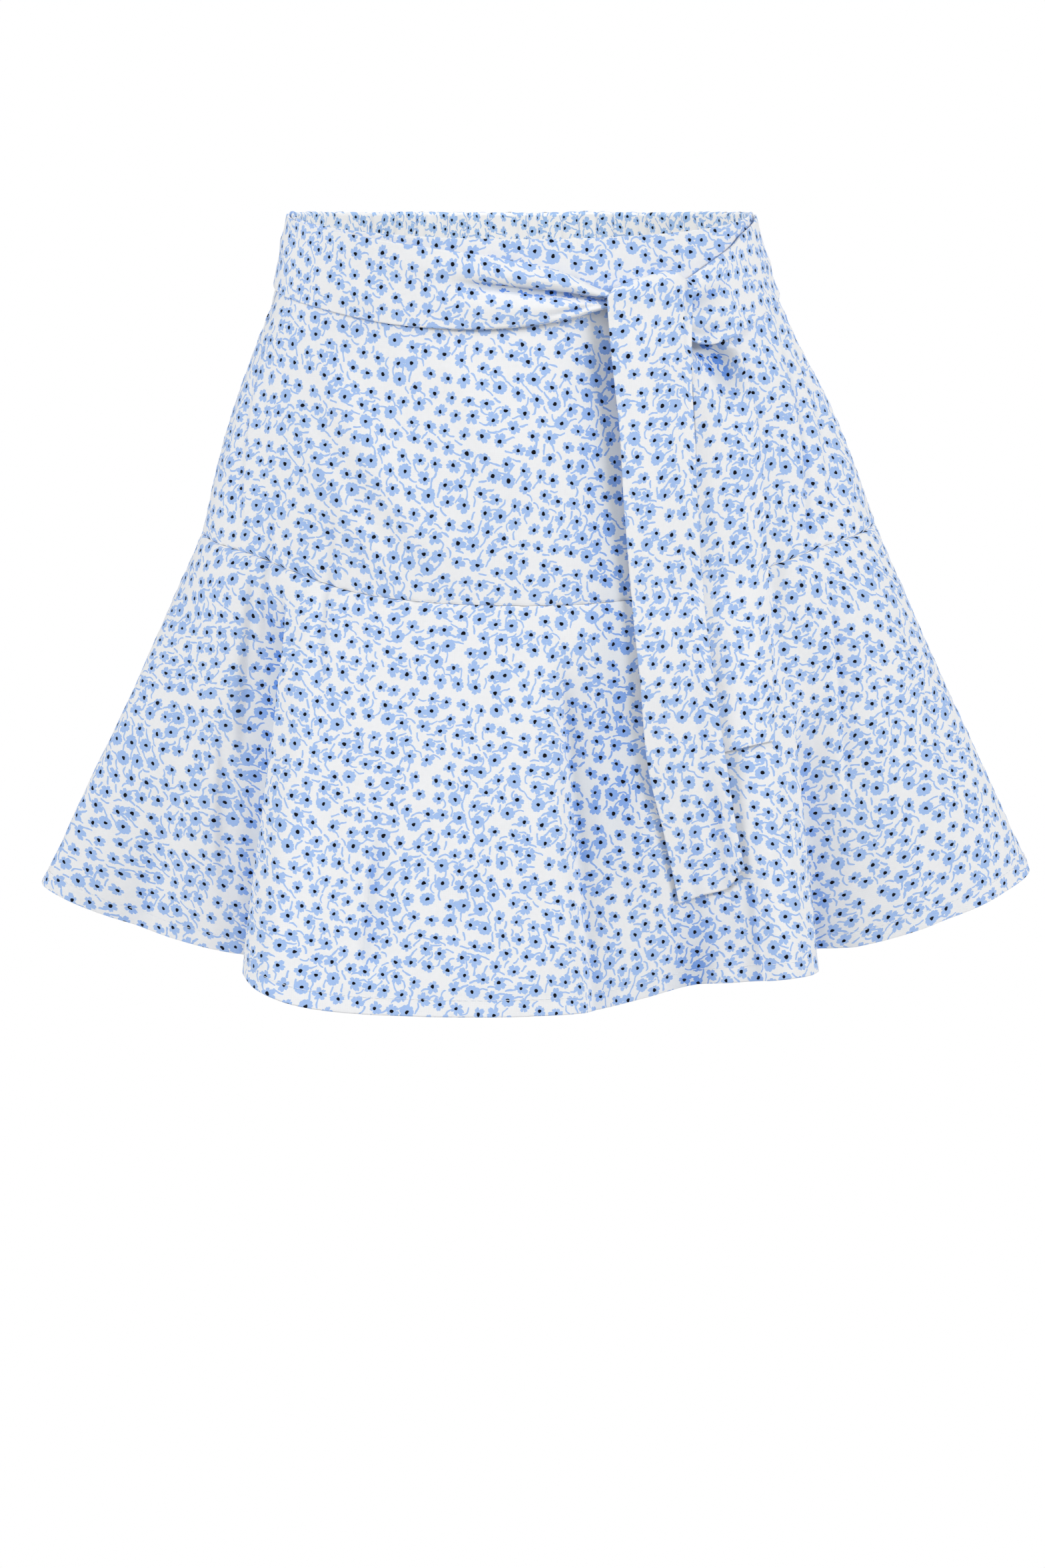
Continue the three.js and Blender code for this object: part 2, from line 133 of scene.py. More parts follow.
def yokePoint(degrees, down):
    degrees, down = paired(degrees, down)
    sine, cosine = np.sin(np.radians(degrees)), np.cos(np.radians(degrees))
    form = skirtForm["yoke"]
    x = sine * np.where(sine > 0, follow(form, "right", down), follow(form, "left", down))
    y = -cosine * np.where(cosine > 0, follow(form, "front", down), follow(form, "back", down))
    rim = np.where(cosine < 0, skirtForm["backTilt"] * form["back"][0] * cosine, 0)
    seam = follow(skirtForm["seam"], "z", inOneTurn(degrees))
    return np.stack([x, y, rim + (seam - rim) * down], -1) * mm


def flouncePoint(degrees, down):
    degrees, down = paired(degrees, down)
    seam = yokePoint(degrees, 1)
    along = yokePoint(degrees + 0.5, 1) - yokePoint(degrees - 0.5, 1)
    along[..., 2] = 0
    along = unitOf(along)
    outward = np.stack([along[..., 1], -along[..., 0], np.zeros_like(down)], -1)
    at = inOneTurn(degrees)
    out, slide, length = (follow(skirtForm["flutes"], c, at) for c in ("out", "slide", "length"))
    side = np.sin(np.radians(degrees)) ** 2
    flare = skirtForm["flareFront"] * (1 - side) + skirtForm["flareSide"] * side  # before it flutes
    spread = flare * down + (out - flare) * down ** skirtForm["fluteGrowth"]
    shift = slide * down ** skirtForm["slideGrowth"]
    drop = np.sqrt(length**2 - out**2 - slide**2) * down  # what spreads out hangs less far
    point = seam + (outward * spread[..., None] + along * shift[..., None]) * mm
    point[..., 2] -= drop * mm
    return point


def skirtPoint(degrees, down):
    degrees, down = paired(degrees, down)
    upper = yokePoint(degrees, np.minimum(down, 1))
    lower = flouncePoint(degrees, np.maximum(down - 1, 0))
    return np.where((down <= 1)[..., None], upper, lower)


def normalOf(surface, degrees, down):
    stepU, stepV = 0.6, 0.02  # degrees, and share of the way down
    alongU = surface(degrees + stepU, down) - surface(degrees - stepU, down)
    alongV = surface(degrees, np.minimum(down + stepV, 1)) - surface(degrees, np.maximum(down - stepV, 0))
    return unitOf(np.cross(alongV, alongU))


def skirtNormal(degrees, down):
    degrees, down = paired(degrees, down)
    upper = normalOf(yokePoint, degrees, np.minimum(down, 1))
    lower = normalOf(flouncePoint, degrees, np.maximum(down - 1, 0))
    blend = ramp((down - 0.985) / 0.03)[..., None]  # no step where the two meet at the seam
    return unitOf(upper * (1 - blend) + lower * blend)


def offSkirt(degrees, down, distance):  # distance in metres
    return skirtPoint(degrees, down) + skirtNormal(degrees, down) * np.asarray(distance)[..., None]


# Cloth is laid out on a grid of rows, which run down, and columns, which run across.

edgeRows = (0, 0.15, 0.35, 0.6, 0.95, 1.4, 2.0)  # mm from an edge, where rows lie closer together


def spaced(start, end, length, count, edge=edgeRows):
    close = np.array(edge) / length * (end - start)
    return np.concatenate([start + close, np.linspace(start + close[-1], end - close[-1], count)[1:-1],
                           (end - close)[::-1]])


def crowded(start, end, length, count, busy):
    # as spaced, with more columns where sharp creases run: rows of place, reach and gain
    fine = np.linspace(start, end, 6000)
    density = 1 + sum(gain * bell(fine - at, reach) for at, reach, gain in busy)
    total = np.cumsum(density) - density[0]
    even = np.interp(np.linspace(0, 1, count), total / total[-1], fine)
    close = np.array(edgeRows) / length * (end - start)
    clear = close[-1] * 1.4
    even = even[(even > start + clear) & (even < end - clear)]
    return np.concatenate([start + close, even, (end - close)[::-1]])


def gridNormals(points):
    return unitOf(np.cross(np.gradient(points, axis=0), np.gradient(points, axis=1)))


def runLength(points, axis, ease=None):  # length along each row or column from its start, metres
    steps = np.linalg.norm(np.diff(points, axis=axis), axis=-1)
    if ease is not None:
        steps = steps * (ease[:, 1:] + ease[:, :-1]) / 2
    first = np.zeros_like(np.take(steps, [0], axis=axis))
    return np.concatenate([first, np.cumsum(steps, axis=axis)], axis=axis)


def fromMiddle(points, ease=None):  # the same along rows, from the middle column
    run = runLength(points, 1, ease)
    middle = run.shape[1] // 2
    return run - run[:, middle:middle + 1]


def sideEase(degrees, deep):  # the print is eased wider round the sides, as on cloth pressed flat there
    sine, cosine = np.sin(np.radians(degrees)), np.cos(np.radians(degrees))
    facing, least = np.abs(cosine) / np.sqrt(cosine**2 + (deep * sine) ** 2), 0.54
    return np.sqrt(np.maximum(facing, least))


def creaseRise(along, across, unit, creases):
    # Troughs and ridges of the cloth, metres. Each row of the table runs along from start to end,
    # while its middle goes across from first to last with a bow. Widths and depth are in mm, lean
    # makes the side of rising across wider, and the fades are shares of its run, or 0 for a dead stop.
    rise = np.zeros(np.broadcast(along, across).shape)
    for row in zip(*creases.values()):
        start, end, first, last, bow, wide, wideEnd, depth, lean, fadeIn, fadeOut = row
        t = (along - start) / (end - start)
        away = (across - (first + (last - first) * t + bow * 4 * t * (1 - t))) * unit
        width = (wide + (wideEnd - wide) * np.clip(t, 0, 1)) * np.where(away > 0, 1 + lean, 1 - lean)
        inside = np.where((t >= 0) & (t <= 1), 1.0, 0.0) * ramp(t / fadeIn if fadeIn else t + 1)
        inside = inside * ramp((1 - t) / fadeOut if fadeOut else 2 - t)
        rise += depth * mm * inside * bell(away, width)
    return rise


creaseColumns = "start end first last bow wide wideEnd depth lean fadeIn fadeOut"


def unevenness(along, across, size, seed):  # slow soft waves, so that no panel is perfectly even
    draw, waves = random.Random(seed), 7
    total = np.zeros(np.broadcast(along, across).shape)
    for _ in range(waves):
        angle, wave, phase = draw.uniform(0, math.pi), draw.uniform(25, 90) * mm, draw.uniform(0, 6.28)
        place = along * math.cos(angle) + across * math.sin(angle)
        total = total + np.sin(place * 2 * math.pi / wave + phase)
    return total * size / waves


def sectorCut(across, down, radius):  # a place on a flared panel, laid flat as part of a ring
    angle = across / (radius + down)
    return np.stack([(radius + down) * np.sin(angle), -(radius + down) * np.cos(angle)], -1)


def pointAt(at, run, line):  # places on a line of points, by the length run along it
    return np.stack([np.interp(at, run, line[:, i]) for i in range(3)], -1)


def hollows(points, normal, axis=1, reaches=(6, 12, 20), least=0.07, full=0.42):
    # how far each place lies in a hollow, 0 to 1, against the cloth some mm to either side; it sets where
    # the print is painted in shade
    if axis == 0:
        return hollows(points.swapaxes(0, 1), normal.swapaxes(0, 1), 1, reaches, least, full).T
    run = runLength(points, 1)
    deep = np.zeros(run.shape)
    for row, along in enumerate(run):
        for reach in reaches:
            sides = sum(pointAt(along + way * reach * mm, along, points[row]) for way in (-1, 1)) / 2
            room = ramp(np.minimum(along, along[-1] - along) / (reach * mm))  # none beside an edge
            slope = ((sides - points[row]) * normal[row]).sum(-1) / (reach * mm)
            deep[row] = np.maximum(deep[row], slope * room)
    return np.clip((deep - least) / (full - least), 0, 1)


def panelGrid(surface, long, degrees, down):
    # a panel's plain form: its grid, places, normals, lengths across, down and from the nearer side
    # seam in metres, and mm to a degree
    degrees, down = np.meshgrid(degrees, down)
    base, normal = surface(degrees, down), normalOf(surface, degrees, down)
    across, run = fromMiddle(base), runLength(base, 1)
    unit = np.gradient(across, axis=1) / np.gradient(degrees, axis=1) / mm
    return degrees, down, base, normal, across, down * long * mm, np.minimum(run, run[:, -1:] - run), unit


def edgeShare(away, thick):  # what is left of a wall's thickness where it turns over its edge
    kept = 0.05  # at the rim itself, so that no face there is empty
    q = np.clip(1 - away / (thick / 2), 0, 1)
    return kept + (1 - kept) * np.sqrt(1 - q * q)


def closeEdge(outer, inner, share):  # both faces drawn to the middle of the wall
    middle = (outer + inner) / 2
    return middle + (outer - middle) * share[..., None], middle + (inner - middle) * share[..., None]


def setDown(mesh, nodes=()):  # a piece in the scene, named as its mesh
    mesh.update()
    piece = bpy.data.objects.new(mesh.name, mesh)
    bpy.context.scene.collection.objects.link(piece)
    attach(piece, "root")
    if nodes:
        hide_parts(*nodes)
    print("made", mesh.name, len(mesh.polygons), "faces")
    return piece


def addCloth(name, outer, inner, cut, innerCut=None, finishes=(), nodes=(),
             folds=None):
    # a closed shell: both faces of the grid and the rim between them
    rows, columns = outer.shape[:2]
    count = rows * columns
    grid = np.arange(count).reshape(rows, columns)
    a, b, c, d = grid[:-1, :-1], grid[1:, :-1], grid[1:, 1:], grid[:-1, 1:]
    front = np.stack([a, b, c, d], -1).reshape(-1, 4)
    back = np.stack([a, d, c, b], -1).reshape(-1, 4) + count
    ring = np.concatenate([grid[0, :-1], grid[:-1, -1], grid[-1, :0:-1], grid[:0:-1, 0]])
    after = np.roll(ring, -1)
    edge = np.stack([ring, after, after + count, ring + count], -1)
    faces = np.concatenate([front, back, edge])
    points = np.concatenate([outer.reshape(-1, 3), inner.reshape(-1, 3)])
    mesh = bpy.data.meshes.new(name)
    mesh.from_pydata(points.tolist(), [], faces.tolist())
    cut, innerCut = (c.reshape(-1, 2) for c in (cut, cut if innerCut is None else innerCut))
    flat = np.concatenate([cut, innerCut])[faces.ravel()]
    flat[front.size + back.size:] = np.concatenate([cut, cut])[edge.ravel()]
    layer = mesh.uv_layers.new(name="flatCut")
    layer.data.foreach_set("uv", flat.astype(np.float32).ravel())
    # painted shade: folds, 0 to 1, is kept on each point as the fold shade attribute, which darkens the
    # print's tones there
    if folds is not None:
        depth = mesh.attributes.new("paintedFoldShade", "FLOAT", "POINT")
        depth.data.foreach_set("value", np.tile(np.clip(folds, 0, 1).ravel(), 2).astype(np.float32))
    for finish in finishes:
        mesh.materials.append(finish)
    if len(finishes) > 1:
        side = np.zeros(len(faces), np.int32)
        side[len(front):len(front) + len(back)] = 1
        mesh.polygons.foreach_set("material_index", side)
    mesh.polygons.foreach_set("use_smooth", np.ones(len(faces), bool))
    mesh.set_sharp_from_angle(angle=math.radians(60))
    return setDown(mesh, nodes)


# Camera, light and floor.

studio = {
    "camera": (0, -2.4, 0.38), "pitch": 16.095, "lens": 105.45,  # metres, degrees down, mm
    "room": 0.34, "roomColour": (0.83, 0.915, 1.0, 1),  # light of the white room all round
    "lamps": [  # place, size across, watts
        ("keyLamp", (-0.3, -2.4, 1.7), 1.0, 11), ("leftLamp", (-2.3, -1.3, 1.15), 1.2, 41),
        ("rightLamp", (2.3, -1.3, 1.15), 1.2, 44), ("backLamp", (0.3, 2.4, 1.1), 1.6, 40)],
    "lampColour": (1, 0.975, 0.95), "aim": (0, 0, -0.2),
    "floorDrop": 0.62, "floorRadius": 6.0, "floorSides": 64,  # metres below the hem
}


def fromHex(text):  # sRGB hex to linear colour
    parts = [int(text[i:i + 2], 16) / 255 for i in (1, 3, 5)]
    return tuple(p / 12.92 if p <= 0.04045 else ((p + 0.055) / 1.055) ** 2.4 for p in parts) + (1,)


def addNode(tree, kind, inputs=None, **settings):  # inputs by socket, each a value or a linked output
    node = tree.nodes.new(kind if kind.startswith("NodeGroup") else "ShaderNode" + kind)
    for name, value in settings.items():
        setattr(node, name, value)
    for socket, value in (inputs or {}).items():
        if isinstance(value, bpy.types.NodeSocket):
            tree.links.new(value, node.inputs[socket])
        else:
            node.inputs[socket].default_value = value
    return node


def startMaterial(name):
    material = bpy.data.materials.new(name)
    material.use_nodes = True
    material.node_tree.nodes.clear()
    return material, material.node_tree


def buildStudio():
    scene = bpy.context.scene
    camera = bpy.data.objects.new("camera", bpy.data.cameras.new("camera"))
    camera.location = studio["camera"]
    camera.rotation_euler = (math.radians(90 - studio["pitch"]), 0, 0)
    camera.data.lens = studio["lens"]
    camera.data.sensor_width = 36
    camera.data.clip_end = 60
    scene.collection.objects.link(camera)
    scene.camera = camera
    scene.view_settings.view_transform = "Standard"

    for name, place, size, watts in studio["lamps"]:
        lamp = bpy.data.objects.new(name, bpy.data.lights.new(name, "AREA"))
        lamp.data.shape, lamp.data.size, lamp.data.energy = "DISK", size, watts
        lamp.data.color = studio["lampColour"]
        lamp.location = place
        beam = Vector(studio["aim"]) - Vector(place)
        lamp.rotation_euler = beam.to_track_quat("-Z", "Y").to_euler()
        scene.collection.objects.link(lamp)

    world = bpy.data.worlds.new("whiteRoom")  # the camera sees it white, whatever light it gives
    world.use_nodes = True
    world.node_tree.nodes.clear()
    tree = world.node_tree
    ray = addNode(tree, "LightPath")
    light = addNode(tree, "Background", {"Color": studio["roomColour"], "Strength": studio["room"]})
    seen = addNode(tree, "Background", {"Color": (1, 1, 1, 1), "Strength": 1.0})
    both = addNode(tree, "MixShader", {0: ray.outputs["Is Camera Ray"], 1: light.outputs[0],
                                       2: seen.outputs[0]})
    addNode(tree, "OutputWorld", {"Surface": both.outputs[0]})
    scene.world = world

    radius, sides = studio["floorRadius"], studio["floorSides"]
    mesh = bpy.data.meshes.new("floor")
    ring = [(radius * math.cos(a), radius * math.sin(a), 0)
            for a in np.linspace(0, 2 * math.pi, sides, endpoint=False)]
    mesh.from_pydata(ring, [], [tuple(range(sides))])
    floor = bpy.data.objects.new("floor", mesh)
    floor.location = (0, 0, cadLow.z - studio["floorDrop"])
    scene.collection.objects.link(floor)
    material, tree = startMaterial("whiteSweepPaper")  # matt paper: no glints, and lit evenly from below
    paper = addNode(tree, "BsdfPrincipled", {"Base Color": fromHex("#D9D9D9"), "Roughness": 0.9,
                                             "Specular IOR Level": 0.2})
    ray = addNode(tree, "LightPath")
    glow = addNode(tree, "Emission", {"Color": (1, 1, 1, 1), "Strength": 1.0})
    sweep = addNode(tree, "MixShader", {0: ray.outputs["Is Camera Ray"], 1: paper.outputs[0],
                                        2: glow.outputs[0]})
    addNode(tree, "OutputMaterial", {"Surface": sweep.outputs[0]})
    mesh.materials.append(material)
    print("studio built")


buildStudio()


# Printed crepe: a light woven viscose with a matt, faintly grainy face. A small scattered flower
# is printed on an off-white ground. In the folds the ground is painted greyer and the blue painted deeper:
# painted shade.

printPlan = {
    "across": 9.2, "along": 8.45,  # mm between flowers in a row, and between rows
    "stagger": 0.5,       # how far each row is shifted against the last
    "scatter": 0.28,      # how far each flower leaves its regular place
    "petalReach": 3.18, "sizeSpread": 0.72,  # mm
    "bigShare": 0.84,     # chance values above this give the fuller round flower
    "bigReach": -0.15, "eyeReach": 0.93,  # mm
    "strokeReach": 1.2, "strokeSpread": 1.4, "strokeHalf": 0.45,  # mm from a stem's middle to its end
    "strokeBend": 0.34, "strokesLeftOut": 0.28,  # bend for each mm, and share of places left empty
    "strokeSeats": ((2 / 3, 1 / 3), (1 / 3, 2 / 3)),  # the gaps between three flowers
    "edge": 0.12,         # mm over which the ink ends
    "wander": 4.0, "wanderSize": 56,  # slow drift of the rows, mm
    "turned": 17,         # degrees that the rows are turned against the cloth's grain
    "ragged": 0.85, "raggedSize": 2.5,  # uneven outlines, mm
}


def drawMath(group, known, steps):  # each step is one Math node: its name, what it does, what it takes
    for name, operation, *taken in steps:
        inputs = {i: known[t] if isinstance(t, str) else t for i, t in enumerate(taken)}
        node = addNode(group, "Math", inputs, operation=operation, use_clamp=name.endswith("Soft"))
        known[name] = node.outputs[0]


def startMark(name, outputs, spinRange):  # a mark turned by chance about its middle, x and y in mm
    group = bpy.data.node_groups.new(name, "ShaderNodeTree")
    sockets = [("offset", "Vector", "INPUT"), ("chance", "Color", "INPUT")]
    for socket, kind, way in sockets + [(output, "Float", "OUTPUT") for output in outputs]:
        group.interface.new_socket(name=socket, in_out=way, socket_type="NodeSocket" + kind)
    given = addNode(group, "NodeGroupInput")
    chance = addNode(group, "SeparateColor", {"Color": given.outputs["chance"]})
    spin = addNode(group, "Math", {0: chance.outputs[0], 1: spinRange}, operation="MULTIPLY")
    turned = addNode(group, "VectorRotate", {"Vector": given.outputs["offset"], "Angle": spin.outputs[0]},
                     rotation_type="Z_AXIS")
    place = addNode(group, "SeparateXYZ", {"Vector": turned.outputs[0]})
    return group, {"x": place.outputs[0], "y": place.outputs[1], "size": chance.outputs[1],
                   "bend": chance.outputs[2]}


def flowerGroup(plan):
    group, known = startMark("oneFlower", ("petal", "eye"), 2 * math.pi)
    drawMath(group, known, (
        ("angle", "ARCTAN2", "y", "x"),
        ("xx", "MULTIPLY", "x", "x"), ("yy", "MULTIPLY", "y", "y"), ("rr", "ADD", "xx", "yy"),
        ("away", "SQRT", "rr"),
        ("big", "GREATER_THAN", "size", plan["bigShare"]),
        # five or six petals, or nine or ten round scallops on a full flower
        ("more", "GREATER_THAN", "bend", 0.55), ("extra", "MULTIPLY", "more", 0.5),
        ("few", "MULTIPLY_ADD", "big", 2.0, 2.5), ("count", "ADD", "few", "extra"),
        ("swing", "MULTIPLY", "angle", "count"), ("wave", "COSINE", "swing"), ("lobe", "ABSOLUTE", "wave"),
        # blunt petals with a notch at the tip, cut deeper between them on a small flower
        ("blunt", "MULTIPLY_ADD", "big", 0.25, 0.5),
        ("full", "POWER", "lobe", "blunt"), ("tip", "POWER", "lobe", 26.0),
        ("notched", "MULTIPLY_ADD", "tip", -0.22, "full"),
        ("cut", "MULTIPLY_ADD", "big", -0.37, 0.55), ("whole", "SUBTRACT", 1.0, "cut"),
        ("outline", "MULTIPLY_ADD", "notched", "cut", "whole"),
        # a little lopsided and oval, as drawn by hand
        ("side", "COSINE", "angle"), ("lopsided", "MULTIPLY_ADD", "big", -0.14, 0.2),
        ("skew", "MULTIPLY_ADD", "side", "lopsided", 1.0),
        ("late", "MULTIPLY", "bend", 9.0), ("double", "MULTIPLY_ADD", "angle", 2.0, "late"),
        ("oval", "COSINE", "double"), ("ovalBy", "MULTIPLY_ADD", "big", -0.07, 0.11),
        ("skewed", "MULTIPLY_ADD", "oval", "ovalBy", "skew"),
        ("reach", "MULTIPLY_ADD", "size", plan["sizeSpread"], plan["petalReach"]),
        ("reachAll", "MULTIPLY_ADD", "big", plan["bigReach"], "reach"),
        ("shaped", "MULTIPLY", "outline", "skewed"), ("rim", "MULTIPLY", "shaped", "reachAll"),
        ("within", "SUBTRACT", "rim", "away"), ("ink", "DIVIDE", "within", plan["edge"]),
        ("petalSoft", "ADD", "ink", 0.5),
        # the eye, very slightly three-cornered
        ("three", "MULTIPLY", "angle", 3.0), ("wobble", "COSINE", "three"),
        ("eyeRim", "MULTIPLY_ADD", "wobble", 0.05, plan["eyeReach"]),
        ("inEye", "SUBTRACT", "eyeRim", "away"), ("eyeInk", "DIVIDE", "inEye", plan["edge"]),
        ("eyeSoft", "ADD", "eyeInk", 0.5),
    ))
    addNode(group, "NodeGroupOutput", {"petal": known["petalSoft"], "eye": known["eyeSoft"]})
    return group


def strokeGroup(plan):  # a loose curved stem
    group, known = startMark("oneStroke", ("ink",), math.pi)
    drawMath(group, known, (
        ("curl", "SUBTRACT", "bend", 0.5), ("curve", "MULTIPLY", "curl", plan["strokeBend"]),
        ("xx", "MULTIPLY", "x", "x"), ("bow", "MULTIPLY", "curve", "xx"),
        ("off", "SUBTRACT", "y", "bow"), ("offOff", "MULTIPLY", "off", "off"),
        ("half", "MULTIPLY_ADD", "size", plan["strokeSpread"], plan["strokeReach"]),
        ("along", "ABSOLUTE", "x"), ("past", "SUBTRACT", "along", "half"), ("over", "MAXIMUM", "past", 0.0),
        ("overOver", "MULTIPLY_ADD", "over", "over", "offOff"), ("away", "SQRT", "overOver"),
        ("inside", "SUBTRACT", plan["strokeHalf"], "away"), ("ink", "DIVIDE", "inside", plan["edge"]),
        ("inkSoft", "ADD", "ink", 0.5), ("kept", "GREATER_THAN", "size", plan["strokesLeftOut"]),
        ("drawn", "MULTIPLY", "inkSoft", "kept"),
    ))
    addNode(group, "NodeGroupOutput", {"ink": known["drawn"]})
    return group


oneFlower, oneStroke = flowerGroup(printPlan), strokeGroup(printPlan)


def printedCrepe(name, ground, petal, eye, plan):  # ground and petal: each the cloth's own tone, and a painted shade tone for a fold
    material, tree = startMaterial(name)
    cut = addNode(tree, "UVMap", uv_map="flatCut")
    place = addNode(tree, "Mapping", {"Vector": cut.outputs[0], "Scale": (1000, 1000, 1000),  # to mm
                                      "Rotation": (0, 0, math.radians(plan["turned"]))})
    noises = [addNode(tree, "TexNoise", {"Vector": place.outputs[0], "Scale": 1 / plan[size], "Detail": 0.0},
                      noise_dimensions="2D") for size in ("wanderSize", "raggedSize")]
    for noise, size in zip(noises, (plan["wander"], plan["ragged"])):
        centred = addNode(tree, "VectorMath", {0: noise.outputs["Color"], 1: (0.5, 0.5, 0.5)},
                          operation="SUBTRACT")
        place = addNode(tree, "VectorMath", {0: centred.outputs[0], 1: (size, size, 0),
                                             2: place.outputs[0]}, operation="MULTIPLY_ADD")
    # a lattice of staggered rows, one unit from flower to flower
    wide, tall, lean = plan["across"], plan["along"], plan["stagger"]
    apart = addNode(tree, "SeparateXYZ", {"Vector": place.outputs[0]})
    row = addNode(tree, "Math", {0: apart.outputs[1], 1: 1 / tall}, operation="MULTIPLY")
    shift = addNode(tree, "Math", {0: row.outputs[0], 1: lean}, operation="MULTIPLY")
    seat = addNode(tree, "Math", {0: apart.outputs[0], 1: 1 / wide, 2: shift.outputs[0]},
                   operation="MULTIPLY_ADD")
    lattice = addNode(tree, "CombineXYZ", {0: seat.outputs[0], 1: row.outputs[0]})

    def marksAt(seat, feature, drawn):
        moved = addNode(tree, "VectorMath", {0: lattice.outputs[0], 1: (*seat, 0)}, operation="SUBTRACT")
        cell = addNode(tree, "TexVoronoi", {"Vector": moved.outputs[0], "Scale": 1.0,
                                            "Randomness": plan["scatter"]},
                       voronoi_dimensions="2D", feature=feature)
        gap = addNode(tree, "VectorMath", {0: moved.outputs[0], 1: cell.outputs["Position"]},
                      operation="SUBTRACT")
        parts = addNode(tree, "SeparateXYZ", {"Vector": gap.outputs[0]})
        unleaned = addNode(tree, "Math", {0: parts.outputs[1], 1: -lean, 2: parts.outputs[0]},
                           operation="MULTIPLY_ADD")
        flat = addNode(tree, "CombineXYZ", {0: unleaned.outputs[0], 1: parts.outputs[1]})
        offset = addNode(tree, "VectorMath", {0: flat.outputs[0], 1: (wide, tall, 1)},
                         operation="MULTIPLY")
        return addNode(tree, "Group", {"offset": offset.outputs[0], "chance": cell.outputs["Color"]},
                       node_tree=drawn)

    # the nearest flower and the next one, so that neither is cut off
    flowers = [marksAt((0, 0), feature, oneFlower) for feature in ("F1", "F2")]
    strokes = [marksAt(seat, "F1", oneStroke) for seat in plan["strokeSeats"]]
    blue = flowers[0].outputs["petal"]
    for other in (flowers[1].outputs["petal"], strokes[0].outputs["ink"], strokes[1].outputs["ink"]):
        blue = addNode(tree, "Math", {0: blue, 1: other}, operation="MAXIMUM").outputs[0]
    dark = addNode(tree, "Math", {0: flowers[0].outputs["eye"], 1: flowers[1].outputs["eye"]},
                   operation="MAXIMUM")
    # painted shade: in folds and beside the tails, by the fold shade attribute, the ground is mixed to a
    # greyer tone and the petals to a deeper blue
    fold = addNode(tree, "Attribute", attribute_name="paintedFoldShade")
    groundTone, petalTone = (
        addNode(tree, "Mix", {0: fold.outputs["Fac"], 6: fromHex(lit), 7: fromHex(deep)}, data_type="RGBA")
        for lit, deep in (ground, petal))
    withPetals = addNode(tree, "Mix", {0: blue, 6: groundTone.outputs[2], 7: petalTone.outputs[2]},
                         data_type="RGBA")
    inked = addNode(tree, "Mix", {0: dark.outputs[0], 6: withPetals.outputs[2], 7: fromHex(eye)},
                    data_type="RGBA")
    # the threads lie 0.3 mm apart, too fine to show, so the weave is drawn 0.9 mm apart
    threads = addNode(tree, "Mapping", {"Vector": cut.outputs[0], "Scale": (1000, 1000, 1000)})
    warp, weft = (addNode(tree, "TexWave", {"Vector": threads.outputs[0], "Scale": 0.35, "Distortion": 1.2,
                                            "Detail": 1.0}, wave_type="BANDS", bands_direction=way)
                  for way in "XY")
    weave = addNode(tree, "Math", {0: warp.outputs["Fac"], 1: weft.outputs["Fac"]}, operation="ADD")
    crepe = addNode(tree, "TexNoise", {"Vector": threads.outputs[0], "Scale": 0.55, "Detail": 2.0})
    height = addNode(tree, "Math", {0: crepe.outputs["Fac"], 1: 1.5, 2: weave.outputs[0]},
                     operation="MULTIPLY_ADD")
    bump = addNode(tree, "Bump", {"Height": height.outputs[0], "Strength": 0.12, "Distance": 0.0004})
    tone, roughness = (addNode(tree, "MapRange", {"Value": crepe.outputs["Fac"], 3: low, 4: high})
                       for low, high in ((0.965, 1.02), (0.78, 0.9)))
    shaded = addNode(tree, "Mix", {0: 1.0, 6: inked.outputs[2], 7: tone.outputs[0]},
                     data_type="RGBA", blend_type="MULTIPLY")
    cloth = addNode(tree, "BsdfPrincipled", {
        "Base Color": shaded.outputs[2], "Roughness": roughness.outputs[0], "Normal": bump.outputs[0],
        "Specular IOR Level": 0.16, "Sheen Weight": 0.07, "Sheen Roughness": 0.6, "IOR": 1.46})
    addNode(tree, "OutputMaterial", {"Surface": cloth.outputs[0]})
    return material


# in each pair the first tone is the cloth's own and the second is painted shade for folds
printedFace = printedCrepe("printedViscoseCrepe", ("#F3F3F4", "#D6DCE5"), ("#A8C5F2", "#6492E0"),
                           "#03030F", printPlan)
# the dye shows through weakly on the reverse
printedReverse = printedCrepe("printedViscoseCrepeReverse", ("#F1F2F4", "#E0E3E8"), ("#C4D7F3", "#A9C0E6"),
                              "#6F7695", printPlan)
# the turned-in face of the waist is the same cloth, its tones painted lighter than the face's: painted light
# for the inside of the waist
paintedLighterInside = printedCrepe("printedViscoseCrepeInsidePaintedLighter", ("#FCFCFC", "#E6EAF0"), ("#A8C9F4", "#7FA8EA"),
                             "#03030F", printPlan)
bothFaces = (printedFace, printedReverse)
print("print mixed")


